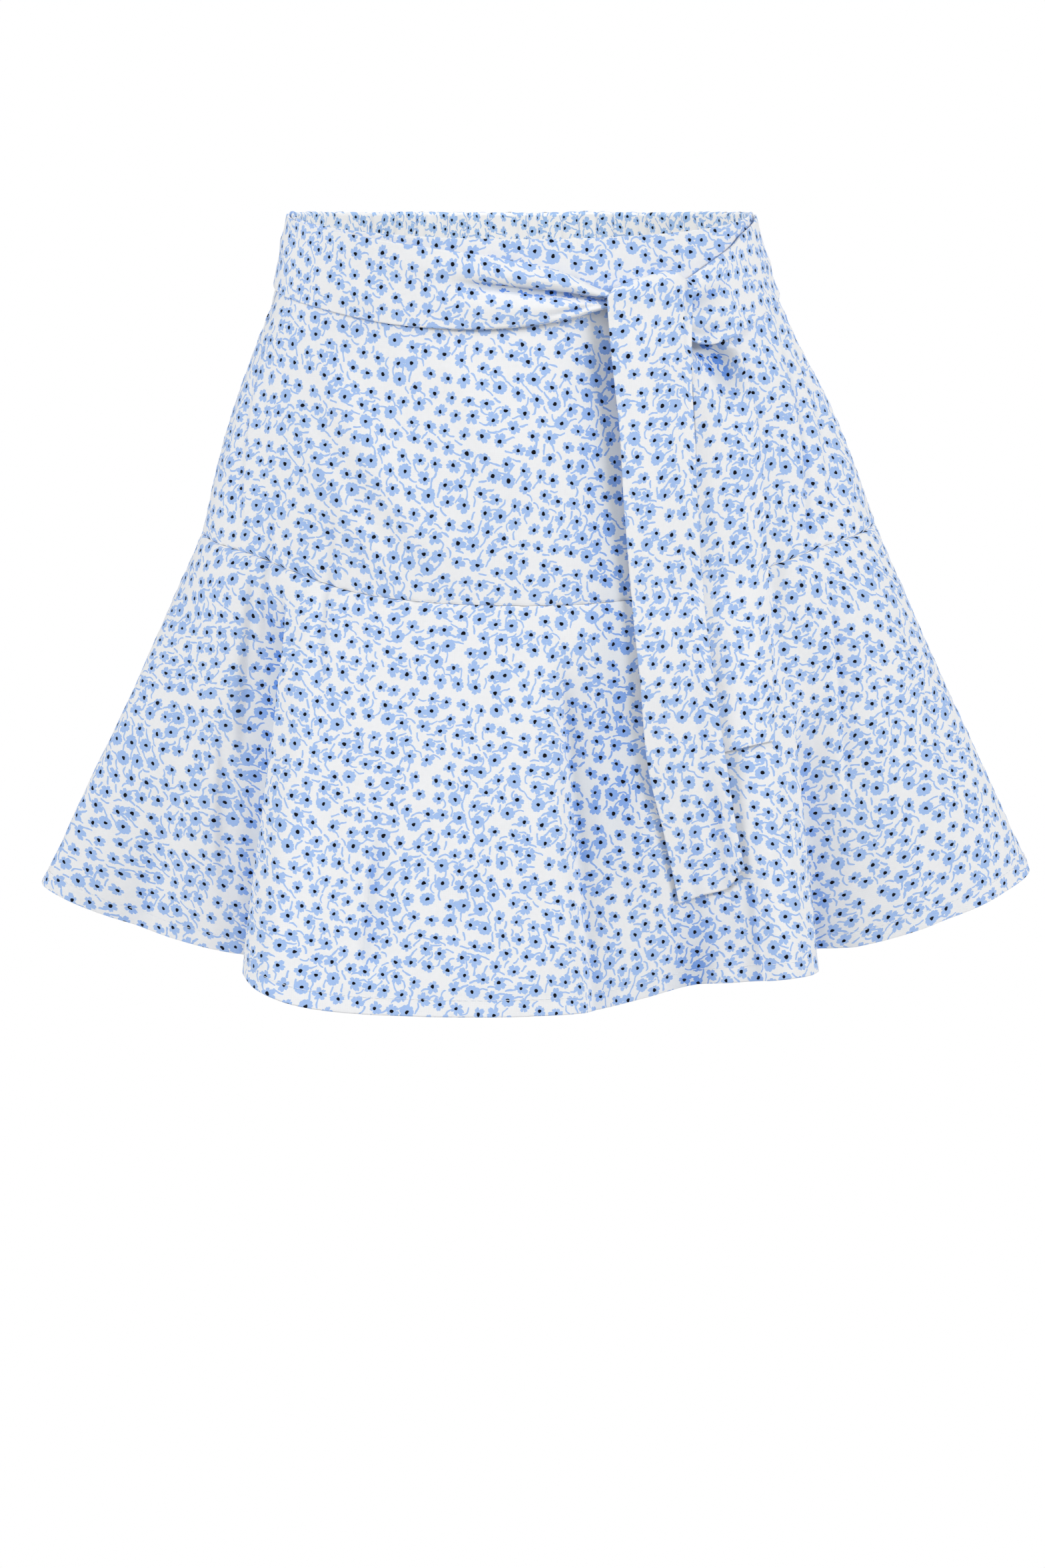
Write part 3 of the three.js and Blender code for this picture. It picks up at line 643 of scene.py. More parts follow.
def cottonJersey(name):  # a soft fine knit: matt, with faint upright ribs
    material, tree = startMaterial(name)
    cut = addNode(tree, "UVMap", uv_map="flatCut")
    place = addNode(tree, "Mapping", {"Vector": cut.outputs[0], "Scale": (1000, 1000, 1000)})
    # wales lie 0.6 mm apart, drawn 1.2 mm apart so that they show
    wales = addNode(tree, "TexWave", {"Vector": place.outputs[0], "Scale": 0.26, "Distortion": 0.8,
                                      "Detail": 1.0}, wave_type="BANDS", bands_direction="X")
    fuzz = addNode(tree, "TexNoise", {"Vector": place.outputs[0], "Scale": 0.4, "Detail": 3.0})
    height = addNode(tree, "Math", {0: fuzz.outputs["Fac"], 1: 0.8, 2: wales.outputs["Fac"]},
                     operation="MULTIPLY_ADD")
    bump = addNode(tree, "Bump", {"Height": height.outputs[0], "Strength": 0.25, "Distance": 0.0004})
    colour = addNode(tree, "Mix", {0: fuzz.outputs["Fac"], 6: fromHex("#ECECEA"), 7: fromHex("#F7F7F5")},
                     data_type="RGBA")
    knit = addNode(tree, "BsdfPrincipled", {
        "Base Color": colour.outputs[2], "Roughness": 0.88, "Normal": bump.outputs[0],
        "Specular IOR Level": 0.25, "Sheen Weight": 0.3, "Sheen Roughness": 0.5})
    addNode(tree, "OutputMaterial", {"Surface": knit.outputs[0]})
    return material


def polyesterThread(name):  # spun thread: a slight gleam along tight stitches
    material, tree = startMaterial(name)
    shape = addNode(tree, "TexCoord")
    twist = addNode(tree, "TexNoise", {"Vector": shape.outputs["Object"], "Scale": 2500.0})
    shade = addNode(tree, "Mix", {0: twist.outputs["Fac"], 6: fromHex("#DDE3EE"), 7: fromHex("#F6F7FA")},
                    data_type="RGBA")
    spun = addNode(tree, "BsdfPrincipled", {"Base Color": shade.outputs[2], "Roughness": 0.55})
    addNode(tree, "OutputMaterial", {"Surface": spun.outputs[0]})
    return material


jersey, thread = cottonJersey("plainCottonJersey"), polyesterThread("whitePolyesterThread")


# Yoke panels: fitted, rimmed at the waist, and turned in a little where they meet the flounce.

frontYoke = {
    "long": 176, "columns": 300, "rows": 66,
    "wall": 0.7, "rimWall": 0.7, "rimDepth": 30,  # mm; the rim is turned in, as a thicker wall
    "cutRadius": 0.415, "flat": (0.462, 0.196), "area": 0.0715,
    "uneven": 0.5, "seed": 3,
    "creases": tableOf(creaseColumns, [
        (0.26, 1.00, -58, -10, 3, 14, 17, 1.9, 0.3, 0.3, 0.35),
        (0.42, 0.98, -60, -22, 2, 10, 12, 1.5, -0.3, 0.3, 0.3),
        (0.25, 0.80, -20, 2, 1, 11, 14, 1.1, 0.2, 0.3, 0.4),
        (0.18, 1.00, 20, 17, 0, 19, 23, -2.6, -0.6, 0.25, 0.45),
        (0.26, 0.66, 37, 45, 0, 17, 13, -7.0, 0, 0.2, 0.6),  # hollow under the back tail's top
        (0.28, 1.00, 76, 53, -2, 6, 7, -2.4, 0.55, 0.3, 0.1),
        (0.34, 1.00, 84, 61, -2, 6, 8, -1.8, 0.5, 0.3, 0.2),
        (0.40, 1.00, 66, 47, -1, 6, 8, 1.2, 0.2, 0.3, 0.3),
        (0.30, 1.00, -80, -60, 0, 6, 8, -2.0, -0.5, 0.3, 0.2),
        (0.36, 1.00, -70, -50, 0, 7, 9, -1.3, -0.4, 0.3, 0.15),
        (0.70, 1.00, -52, -51, 0, 3, 4, -1.3, 0.2, 0.5, 0),
        (0.74, 1.00, -37, -36, 0, 3, 4, -1.2, 0.2, 0.5, 0),
    ]),
    "busy": [(-60, 14, 0.8), (64, 14, 1.0), (88, 4, 1.0)],
    "shade": tableOf(creaseColumns, [  # where the cloth lies in shade beside the tails: depth 1 is full
        (0.20, 1.00, 18.0, 16.0, 0, 13, 17, 0.62, 0, 0.2, 0),
        (0.24, 0.60, 38, 45, 0, 12, 9, 0.8, 0, 0.1, 0.5)]),
}
seamPlan = {"depth": 0.42, "width": 0.9, "pucker": 0.3, "puckerLength": 11,  # mm
            "farPucker": 0.24, "farWidth": 7.0}


def seamTuck(away, along, seed):  # cloth rolls in at a seam, unevenly where the thread pulls it
    plan = seamPlan
    wave = unevenness(along, 0 * along, 1, seed)
    beat = np.sin(along / mm * 2 * math.pi / plan["puckerLength"] + 3 * wave)
    close = (plan["depth"] + plan["pucker"] * beat) * bell(away / mm, plan["width"])
    return -(close + plan["farPucker"] * beat * bell(away / mm, plan["farWidth"])) * mm


def makeFrontYoke():
    plan, long = frontYoke, frontYoke["long"]
    degrees, down, base, normal, across, fromTop, side, unit = panelGrid(
        yokePoint, long, crowded(*frontSpan, 400, plan["columns"], plan["busy"]),
        spaced(0, yokeEnd, long, plan["rows"]))
    rise = creaseRise(down, degrees, unit, plan["creases"])
    rise += unevenness(across, fromTop, plan["uneven"] * mm, plan["seed"])
    rise += seamTuck((yokeEnd - down) * long * mm, across, 5) + seamTuck(side, fromTop, 6)
    outer = base + normal * rise[..., None]
    wall = (plan["wall"] + plan["rimWall"] * ramp((plan["rimDepth"] - fromTop / mm) / 0.8)) * mm
    inner = outer - gridNormals(outer) * wall[..., None]
    outer, inner = closeEdge(outer, inner, edgeShare(fromTop, (plan["wall"] + plan["rimWall"]) * mm))
    cut = sectorCut(fromMiddle(outer, sideEase(degrees, 0.7)), fromTop, plan["cutRadius"])
    # painted shade: in hollows, and from the shade table beside the tails
    folds = hollows(outer, normal) + creaseRise(down, degrees, unit, plan["shade"]) / mm
    return addCloth("frontYoke", outer, inner, cut, None, bothFaces, nodes=("yoke_front",), folds=folds)


yokeFront = makeFrontYoke()


# Stitches: short tight bars of thread that lie along a line on the cloth.

stitchPlan = {"length": 2.7, "gap": 0.8, "half": 0.19, "arch": 0.28, "lift": -0.04,  # mm
              "taper": 0.28, "rings": 5, "sides": 6}  # radians left out of half a wave at both ends


def addStitches(name, line, normal):
    plan, n = stitchPlan, stitchPlan["sides"]
    run = runLength(line[None], 1)[0] / mm
    pitch = plan["length"] + plan["gap"]
    points, faces = [], []
    turns = np.linspace(0, 2 * math.pi, n, endpoint=False)
    swell = np.sin(np.linspace(plan["taper"], math.pi - plan["taper"], plan["rings"]))
    for k in range(int((run[-1] - 2) / pitch)):
        at = 1 + k * pitch + np.linspace(0, plan["length"], plan["rings"])
        centre, up = pointAt(at, run, line), pointAt(at, run, normal)
        sideways = unitOf(np.cross(unitOf(np.gradient(centre, axis=0)), up))
        centre = centre + up * ((swell * plan["arch"] + plan["lift"]) * mm)[:, None]
        start = len(points)
        for ring in range(plan["rings"]):
            for turned in turns:
                out = sideways[ring] * math.cos(turned) + up[ring] * math.sin(turned)
                points.append(centre[ring] + out * plan["half"] * mm * swell[ring])
        for ring in range(plan["rings"] - 1):
            for j in range(n):
                a, b = start + ring * n + j, start + ring * n + (j + 1) % n
                faces.append((a, b, b + n, a + n))
        faces.append(tuple(start + j for j in reversed(range(n))))
        faces.append(tuple(start + (plan["rings"] - 1) * n + j for j in range(n)))
    mesh = bpy.data.meshes.new(name)
    mesh.from_pydata([tuple(p) for p in points], [], faces)
    mesh.polygons.foreach_set("use_smooth", np.ones(len(faces), bool))
    mesh.materials.append(thread)
    return setDown(mesh)


# Gathers of the elastic back waist. Each tuck takes in cloth, and opens out down the back.

gatherPlan = {
    "casing": 0.185,  # share of the yoke's length that is casing
    "tucks": tableOf("at deep", [  # degrees round, and how deep against the deepest
        (92.5, 0.5), (96.0, 0.8), (99.5, 0.5), (104.0, 0.9), (108.5, 0.5), (113.4, 0.7), (117.5, 0.4),
        (122.1, 0.6), (125.6, 0.4), (128.7, 0.8), (134.0, 0.5), (138.8, 0.8), (142.2, 0.4), (145.7, 0.9),
        (148.6, 0.6), (152.6, 0.4), (155.9, 0.9), (160.2, 1.0), (165.2, 0.5), (169.6, 0.9), (173.0, 0.4),
        (176.2, 0.8), (178.4, 0.9), (181.2, 0.7), (184.9, 0.5), (188.8, 0.9), (191.4, 0.4), (194.3, 0.9),
        (196.6, 0.4), (199.4, 0.7), (202.8, 0.4), (205.8, 0.6), (208.6, 1.0), (211.6, 0.4), (215.0, 1.0),
        (218.9, 0.4), (222.8, 1.0), (226.8, 0.6), (231.6, 0.5), (236.6, 0.9), (240.8, 0.4), (244.5, 0.6),
        (248.6, 0.4), (253.2, 0.7), (257.6, 0.9), (262.0, 0.5), (266.6, 0.7)]),
    "depth": 2.9, "width": 1.6, "openWidth": 9,  # mm
    "takenIn": 4.0,      # mm of cloth that the deepest tuck takes in
    "reach": (0.42, 0.95),  # how far down the yoke the shallowest and deepest tucks run
    "drift": 1.3,        # degrees that a tuck may wander on its way down
}


def gather(degrees, down, unit):  # rise of the cloth and the extra cloth passed, both in metres
    plan, draw = gatherPlan, random.Random(11)
    rise, extra = np.zeros(degrees.shape), np.zeros(degrees.shape)
    for at, deep in zip(*plan["tucks"].values()):
        lean, sway = draw.uniform(-1, 1) * plan["drift"], draw.uniform(-0.25, 0.25)
        reach = plan["reach"][0] + (plan["reach"][1] - plan["reach"][0]) * deep
        opened = ramp((down - plan["casing"]) / (reach - plan["casing"]))
        away = (degrees - at - lean * down - sway * np.sin(down * 17 + at)) * unit
        width = plan["width"] + plan["openWidth"] * opened
        # sharp where the elastic holds it, softer and shallower below; its cloth goes to both sides
        rise -= deep * plan["depth"] * (1 - opened) ** 1.5 * np.exp(-np.sqrt(away**2 + 0.16) / width)
        extra += deep * plan["takenIn"] * (1 - 0.85 * opened) * 0.5 * (1 + np.tanh(away / (0.5 * width)))
    middle = degrees.shape[1] // 2
    rise += 0.55 * plan["depth"] * (1 - ramp(down / 0.7))  # what lies between the tucks puffs out
    return rise * mm, (extra - extra[:, middle:middle + 1]) * mm


def stitchedDown(rise, away):  # the casing's stitching presses the gathers flat, away in mm
    return rise * (1 - 0.75 * bell(away, 1.4)), -0.5 * mm * bell(away, 1.3)


waistCasing = {
    "long": 162, "columns": 560, "rows": 14, "edgeRows": (0, 0.1, 0.25, 0.5, 0.8, 1.2, 1.8, 2.4),
    "wall": 2.3, "edge": 2.4, "fullness": 1.2, "flat": (0.452, 0.033),
}


def makeCasing():
    plan, long = waistCasing, waistCasing["long"]
    bottom = gatherPlan["casing"] - skirtForm["casingGap"] / skirtForm["yokeLength"]
    degrees, down, base, normal, across, fromTop, side, unit = panelGrid(
        yokePoint, long, spaced(*backSpan, 200, plan["columns"]),
        spaced(0, bottom, 31, plan["rows"], plan["edgeRows"]))
    rise, extra = gather(degrees, down, unit)
    calm, dip = stitchedDown(rise, (bottom - down) * long)
    tuck = dip - 0.8 * mm * bell(side / mm, 1.2)
    top = (unevenness(across, fromTop, 0.6 * mm, 21) + 0.3 * rise) * bell(fromTop / mm, 6)
    outer = base + normal * (calm + tuck)[..., None]
    inner = base - normal * (plan["wall"] * mm + calm * 0.4 + tuck)[..., None]
    outer, inner = closeEdge(outer, inner, edgeShare(fromTop, plan["edge"] * mm))
    outer[..., 2] += top
    inner[..., 2] += top
    across = (across + extra) * plan["fullness"]
    cut = np.stack([across, -fromTop], -1)
    folded = np.stack([across, fromTop * 1.12 + 3 * mm], -1)
    # painted shade in the valleys of the gathers, at six tenths of full
    folds = 0.6 * hollows(outer, normal, reaches=(1.5, 3), full=0.7)
    return addCloth("backWaistCasing", outer, inner, cut, folded, (printedFace, paintedLighterInside),
                    nodes=("waist_casing_back",), folds=folds)


backYoke = {
    "long": 166, "columns": 400, "rows": 60, "wall": 0.7, "cutRadius": 1.6, "uneven": 0.5, "seed": 8,
    "flat": (0.50, 0.155),
    "creases": tableOf(creaseColumns, [
        (0.45, 1.0, 128, 122, 2, 10, 14, 1.3, 0.2, 0.4, 0.3),
        (0.40, 1.0, 152, 156, -2, 12, 15, 1.5, -0.2, 0.4, 0.3),
        (0.50, 1.0, 186, 184, 1, 11, 14, 1.2, 0.2, 0.4, 0.3),
        (0.42, 1.0, 214, 222, -2, 12, 16, 1.4, 0.3, 0.4, 0.3),
        (0.50, 1.0, 243, 248, 1, 9, 12, 1.2, -0.2, 0.4, 0.3)]),
}


def makeBackYoke():
    plan, long = backYoke, backYoke["long"]
    top = gatherPlan["casing"] + skirtForm["casingGap"] / skirtForm["yokeLength"]
    degrees, down, base, normal, across, fromTop, side, unit = panelGrid(
        yokePoint, long, spaced(*backSpan, 400, plan["columns"]), spaced(top, yokeEnd, 140, plan["rows"]))
    rise, extra = gather(degrees, down, unit)
    calm, dip = stitchedDown(rise, (down - top) * long)
    rise = calm + dip + creaseRise(down, degrees, unit, plan["creases"])
    rise += unevenness(across, fromTop, plan["uneven"] * mm, plan["seed"])
    rise += seamTuck((yokeEnd - down) * long * mm, across, 15) + seamTuck(side, fromTop, 16)
    outer = base + normal * rise[..., None]
    inner = outer - gridNormals(outer) * plan["wall"] * mm
    wide = fromMiddle(base, sideEase(degrees, 0.7)) + extra
    cut = sectorCut(wide, fromTop, plan["cutRadius"]) + np.array([0, plan["cutRadius"]])
    # painted shade in the hollows of the gathers and creases
    folds = hollows(outer, normal, reaches=(2, 5, 10), full=0.6)
    return addCloth("backYoke", outer, inner, cut, None, bothFaces, nodes=("yoke_back",), folds=folds)


# Flounce panels: each is half of a ring when laid flat, so it falls in flutes. The hem is turned
# up and stitched.

hemPlan = {"turned": 10, "stitchUp": 8.8, "extraWall": 0.7, "dimple": 0.32, "wobble": 0.175}  # mm

frontFlounce = {
    "span": frontSpan, "long": 212, "columns": 500, "rows": 74, "wall": 0.7, "cutRadius": 0.336,
    "uneven": 0.7, "seed": 4, "flat": (0.76, 0.30), "area": 0.13,
    "creases": tableOf(creaseColumns, [
        (0.02, 1.0, -46.2, -45.4, 1, 11, 14, -12.0, -0.80, 0.22, 0),  # the left flute folds over
        (0.02, 0.62, -55, -52.4, 0, 6, 9, -2.6, 0.6, 0.15, 0.4),
        (0.40, 0.88, -57.5, -55, 0, 6, 8, -2.2, 0.6, 0.3, 0.35),
        (0.0, 0.32, -36, -34.6, 0, 3, 5, -1.6, -0.4, 0, 0.6),
        (0.0, 0.28, -50.8, -51.6, 0, 3, 4, -1.5, 0.3, 0, 0.6),
        (0.50, 0.94, -22.9, -23.2, 0, 4, 7, -2.4, 0.6, 0.35, 0.2),
        (0.06, 1.0, 6.0, 10.4, 0, 18, 28, -8.5, 0.70, 0.3, 0),  # lip of the deep flute by the tail
        (0.45, 0.98, 29.5, 30.8, 0, 5, 7, -1.2, -0.6, 0.3, 0.1),
        (0.68, 1.0, 33.0, 33.4, 0, 5, 7, -1.7, -0.6, 0.35, 0),
        (0.56, 0.92, 37.6, 38.0, 0, 4, 5, -1.6, -0.4, 0.35, 0.3),
        (0.34, 1.0, 44.9, 44.2, 0, 8, 10, -4.6, 0.72, 0.3, 0),  # the right flute folds over
        (0.0, 0.36, 43, 41.3, 0, 4, 5, -1.9, 0.5, 0, 0.5),
        (0.05, 0.74, 56.8, 53.4, 0, 6, 9, -2.6, 0.55, 0.25, 0.35),
        (0.2, 1.0, 66, 68, 0, 9, 14, -1.8, 0.3, 0.4, 0),
        (0.1, 0.9, 77, 79, 0, 6, 10, -1.3, -0.3, 0.3, 0.3),
        (0.15, 1.0, -66, -70, 0, 9, 15, -1.9, 0.3, 0.4, 0),
        (0.3, 1.0, -78, -81, 0, 7, 12, -1.5, 0.3, 0.4, 0),
        (0.1, 1.0, -14, -12, 0, 16, 26, 1.3, 0, 0.4, 0),
        (0.35, 1.0, -30, -31, 0, 12, 18, -1.1, 0.3, 0.4, 0),
    ]),
    "shade": tableOf(creaseColumns, [
        (0.0, 0.85, 15.0, 15.0, 0, 12, 20, 0.6, 0, 0, 0.5),
        (0.0, 1.0, 45.5, 45.5, 0, 14, 18, -0.6, 0, 0, 0)]),
    "busy": [(-54.5, 3, 1.8), (-45, 2.2, 3.4), (-35.3, 1.4, 0.8), (-23.3, 1.4, 1.0), (5.5, 2.4, 1.6),
             (30, 1.4, 1.0), (33, 1.3, 1.4), (43.6, 2.2, 3.4), (55, 2.4, 1.4)],
}
backFlounce = {
    "span": backSpan, "long": 212, "columns": 450, "rows": 66, "wall": 0.7, "cutRadius": 0.336,
    "uneven": 0.7, "seed": 9, "flat": (0.76, 0.30), "area": 0.13,
    "creases": tableOf(creaseColumns, [
        (0.3, 1.0, 101, 100, 0, 9, 15, -1.7, 0.3, 0.4, 0),
        (0.1, 0.8, 118, 119, 0, 6, 9, -2.3, 0.6, 0.2, 0.35),
        (0.05, 1.0, 127.5, 128.5, 1, 8, 10, -4.0, -0.7, 0.25, 0),
        (0.3, 1.0, 137.5, 138.5, 0, 9, 11, -3.6, 0.7, 0.3, 0),
        (0.2, 1.0, 150.5, 151.5, 0, 12, 18, -3.5, 0.7, 0.3, 0),
        (0.1, 1.0, 161.5, 161.8, 0.6, 7, 9, -3.2, -0.7, 0.3, 0),
        (0.0, 0.35, 165, 164, 0, 4, 5, -1.6, -0.4, 0, 0.5),
        (0.45, 0.95, 172.5, 173, 0, 4, 7, -2.0, 0.6, 0.35, 0.2),
        (0.15, 1.0, 186, 189, 0, 13, 20, -3.6, 0.7, 0.3, 0),
        (0.3, 1.0, 199.5, 200, 0, 7, 9, -3.6, -0.7, 0.3, 0),
        (0.5, 0.95, 209, 209, 0, 5, 7, -1.8, 0.6, 0.3, 0.1),
        (0.0, 0.4, 214, 216, 0, 4, 6, -1.6, 0.4, 0, 0.5),
        (0.2, 1.0, 224.5, 226, 0, 12, 18, -3.4, 0.65, 0.3, 0),
        (0.1, 1.0, 236, 235.5, 0, 8, 9, -3.8, -0.7, 0.25, 0),
        (0.1, 0.8, 247, 248, 0, 6, 9, -2.2, 0.6, 0.25, 0.35),
        (0.3, 1.0, 260, 261, 0, 9, 15, -1.6, -0.3, 0.4, 0),
    ]),
    "busy": [(118.5, 2, 1.0), (128.5, 2.2, 2.6), (137.5, 2, 1.8), (150, 2, 1.6), (162.5, 2, 2.2),
             (186, 2, 1.4), (200.5, 2, 2.4), (224, 2, 1.6), (236.5, 2.2, 2.4), (247, 2, 1.0)],
}


def makeFlounce(name, plan, node):
    long = plan["long"]
    degrees, down, base, normal, across, fromTop, side, unit = panelGrid(
        flouncePoint, long, crowded(*plan["span"], 600, plan["columns"], plan["busy"]),
        spaced(skirtForm["seamGap"] / long, 1, long, plan["rows"], (*edgeRows, 3.0)))
    toHem = (1 - down) * long
    rise = creaseRise(down, degrees, unit, plan["creases"])
    rise += unevenness(across, fromTop, plan["uneven"] * mm, plan["seed"]) * ramp(down / 0.1)
    rise += seamTuck(fromTop, across, 5) + seamTuck(side, fromTop, 7) * 0.8
    rise -= hemPlan["dimple"] * mm * bell(toHem - hemPlan["stitchUp"], 0.9)
    wave = np.sin(across / mm * 0.42 + 2 * unevenness(across, 0 * across, 3, 31))
    rise += hemPlan["wobble"] * mm * wave * bell(toHem - 5, 6)
    outer = base + normal * rise[..., None]
    wall = (plan["wall"] + hemPlan["extraWall"] * ramp((hemPlan["turned"] - toHem) / 0.7)) * mm
    inner = outer - gridNormals(outer) * wall[..., None]
    outer, inner = closeEdge(outer, inner, edgeShare(toHem, plan["wall"] + hemPlan["extraWall"]))
    across = fromMiddle(outer, sideEase(degrees, 0.68))
    cut = sectorCut(across, fromTop, plan["cutRadius"]) + np.array([0, plan["cutRadius"]])
    # painted shade in the flutes' hollows, with the shade table's rows added where given
    folds = hollows(outer, normal)
    if "shade" in plan:
        folds = folds + creaseRise(down, degrees, unit, plan["shade"]) / mm
    panel = addCloth(name, outer, inner, cut, None, bothFaces, nodes=(node,), folds=folds)
    row = int(np.argmin(np.abs(toHem[:, 0] - hemPlan["stitchUp"])))
    return panel, addStitches(name + "HemStitches", outer[row], gridNormals(outer)[row])


casingBack = makeCasing()
yokeBack = makeBackYoke()
flounceFront, frontHemStitches = makeFlounce("frontFlounce", frontFlounce, "flounce_front")
flounceBack, backHemStitches = makeFlounce("backFlounce", backFlounce, "flounce_back")


# The sash is a flat tube of cloth. Each end is sewn into a side seam and bunches at the knot.

sashColumns = "at top bottom lift wall"  # degrees; shares of the yoke's length; mm
leftSash = {
    "stations": tableOf(sashColumns, [
        (-89.7, 0.006, 0.225, 0.9, 1.6), (-64, 0.006, 0.238, 0.9, 1.6), (-43, 0.012, 0.246, 0.9, 1.6),
        (-23, 0.029, 0.250, 1.0, 1.8), (-5, 0.052, 0.245, 1.0, 2.4), (10, 0.094, 0.223, 1.0, 3.6),
        (19, 0.145, 0.198, 0.8, 5.0), (28, 0.150, 0.204, 0.8, 5.0)]),
    "columns": 200, "rows": 44, "length": 300, "flat": (0.30, 0.040), "seed": 41, "closeTop": 0,
    "folds": tableOf(creaseColumns, [  # along the sash in degrees, across it from its top edge
        (-19, 27, 0.37, 0.47, 0, 2.8, 1.0, -5.0, 0.5, 0.5, 0),
        (-42, 27, 0.22, 0.25, 0, 7.0, 2.6, 2.6, -0.2, 0.75, 0),
        (-26, 27, 0.68, 0.76, 0, 8.0, 2.8, 2.4, 0.2, 0.5, 0),
        (0, 27, 0.90, 0.66, 0, 2.0, 1.0, -1.5, 0, 0.5, 0),
        (-70, -20, 0.60, 0.80, 0, 7.0, 6.0, 0.9, 0, 0.4, 0.4),
        (-88, -60, 0.35, 0.45, 0, 5.0, 6.0, 1.0, 0, 0.1, 0.6)]),
}
rightSash = {
    "stations": tableOf(sashColumns, [
        (28.6, 0.150, 0.250, 0.8, 4.6), (34, 0.152, 0.290, 2.9, 3.2), (41, 0.138, 0.335, 3.6, 2.0),
        (49, 0.104, 0.334, 3.8, 2.0), (60, 0.066, 0.306, 1.8, 1.8), (68, 0.036, 0.289, 0.9, 1.6),
        (89.7, 0.010, 0.262, 0.9, 1.6)]),
    "columns": 130, "rows": 44, "length": 150, "flat": (0.15, 0.042), "seed": 42,
    "closeTop": 0.8,  # how far its top edge comes back down onto the yoke
    "folds": tableOf(creaseColumns, [
        (29, 58, 0.40, 0.30, 0, 2.0, 7.0, -2.0, 0.2, 0.05, 0.6),
        (29, 66, 0.20, 0.12, 0, 3.0, 7.0, 1.6, 0, 0.05, 0.5),
        (29, 62, 0.64, 0.62, 0, 3.0, 8.0, 2.2, 0, 0.05, 0.5),
        (29, 52, 0.84, 0.80, 0, 1.6, 5.0, -1.3, 0, 0.05, 0.6),
        (66, 89, 0.45, 0.60, 0, 7.0, 6.0, 1.2, 0, 0.5, 0.1)]),
}


def makeSash(name, plan, node):
    table = plan["stations"]
    at = table["at"]
    degrees, share = np.meshgrid(spaced(at[0], at[-1], plan["length"], plan["columns"]),
                                 spaced(0, 1, 40, plan["rows"], (0, 0.1, 0.25, 0.45, 0.75, 1.1, 1.6, 2.3)))
    top, bottom, lift, wall = (follow(table, c, degrees) for c in ("top", "bottom", "lift", "wall"))
    down = top + (bottom - top) * share
    raised = np.maximum(lift - 0.9, 0)  # mm above where it lies flat
    lift = lift - plan["closeTop"] * raised * ramp(1 - share / 0.5)
    tall = (bottom - top) * skirtForm["yokeLength"]
    round_ = edgeShare(np.minimum(share, 1 - share) * tall, wall)
    fold = creaseRise(degrees, share, tall, plan["folds"]) / mm
    fold = np.maximum(fold, 0.5 - wall - lift)  # never through the yoke
    along = np.radians(degrees) * 120 * mm  # the yoke is about 120 mm from its middle
    fold += unevenness(along, share * tall * mm, 0.5, plan["seed"])
    outer = offSkirt(degrees, down, (lift + wall / 2 + (wall / 2 + fold) * round_) * mm)
    inner = offSkirt(degrees, down, (lift + wall / 2 - wall / 2 * round_) * mm)
    run = runLength(outer, 0)
    middle = run.shape[0] // 2
    cut = np.stack([runLength(outer[middle:middle + 1], 1) + 0 * run, run[middle:middle + 1] - run], -1)
    # painted shade in the hollows of the sash's folds
    folds = hollows(outer, skirtNormal(degrees, down), 0, (2.5, 5))
    return addCloth(name, outer, inner, cut, cut + np.array([0, 0.09]), (printedFace,), nodes=(node,),
                    folds=folds)


sashLeft = makeSash("leftSash", leftSash, "sash_left")
sashRight = makeSash("rightSash", rightSash, "sash_right")


# The tails. Steps run along the strip; the front one starts behind the knot and rolls over it.

stripColumns = "step down left right lift"  # down the skirt; degrees of both edges; mm
frontTail = {
    "stations": tableOf(stripColumns, [
        (0, 0.150, 22.5, 37.0, 1.6), (1, 0.130, 22.0, 37.6, 1.8), (2, 0.115, 21.5, 38.2, 3.4),
        (3, 0.108, 20.9, 38.9, 5.6), (4, 0.113, 20.1, 39.7, 7.6), (5, 0.126, 19.3, 40.5, 8.8),
        (6, 0.146, 18.8, 40.8, 9.1), (7, 0.176, 18.7, 40.4, 8.9), (8, 0.240, 18.6, 39.2, 7.8),
        (9, 0.34, 18.4, 36.8, 7.2), (10, 0.50, 18.2, 33.9, 5.2), (11, 0.72, 17.3, 31.0, 4.0),
        (12, 1.00, 17.1, 29.2, 3.8), (13, 1.20, 17.8, 29.7, 3.6), (14, 1.41, 18.6, 30.9, 3.1),
        (15, 1.58, 20.9, 31.8, 2.0), (16, 1.765, 23.2, 32.7, 1.3)]),
    "columns": 44, "rows": 230, "wall": 1.3, "wide": 38, "length": 330, "flat": (0.040, 0.36), "seed": 51,
    "settles": (11, 15),  # over these steps it comes to lie down in the creases below it
    "endRound": 0.045,    # how far the corner of its end is rounded away
    "slant": 0.02, "cornerDrop": 0.034, "roundDrop": 0.03,  # of its end, and of the knot's corners
    "folds": tableOf(creaseColumns, [  # along the strip by step, across it from its left edge
        (2, 11, 0.93, 0.90, 0, 1.4, 2.5, -1.3, 0, 0.1, 0.5),
        (7, 16, 0.45, 0.55, 0, 9, 10, 0.8, 0, 0.2, 0.3),
        (10, 16, 0.12, 0.10, 0, 4, 5, 0.9, 0, 0.3, 0),
        (12, 16, 0.94, 0.95, 0, 3, 4, 1.6, 0, 0.3, 0)]),
}
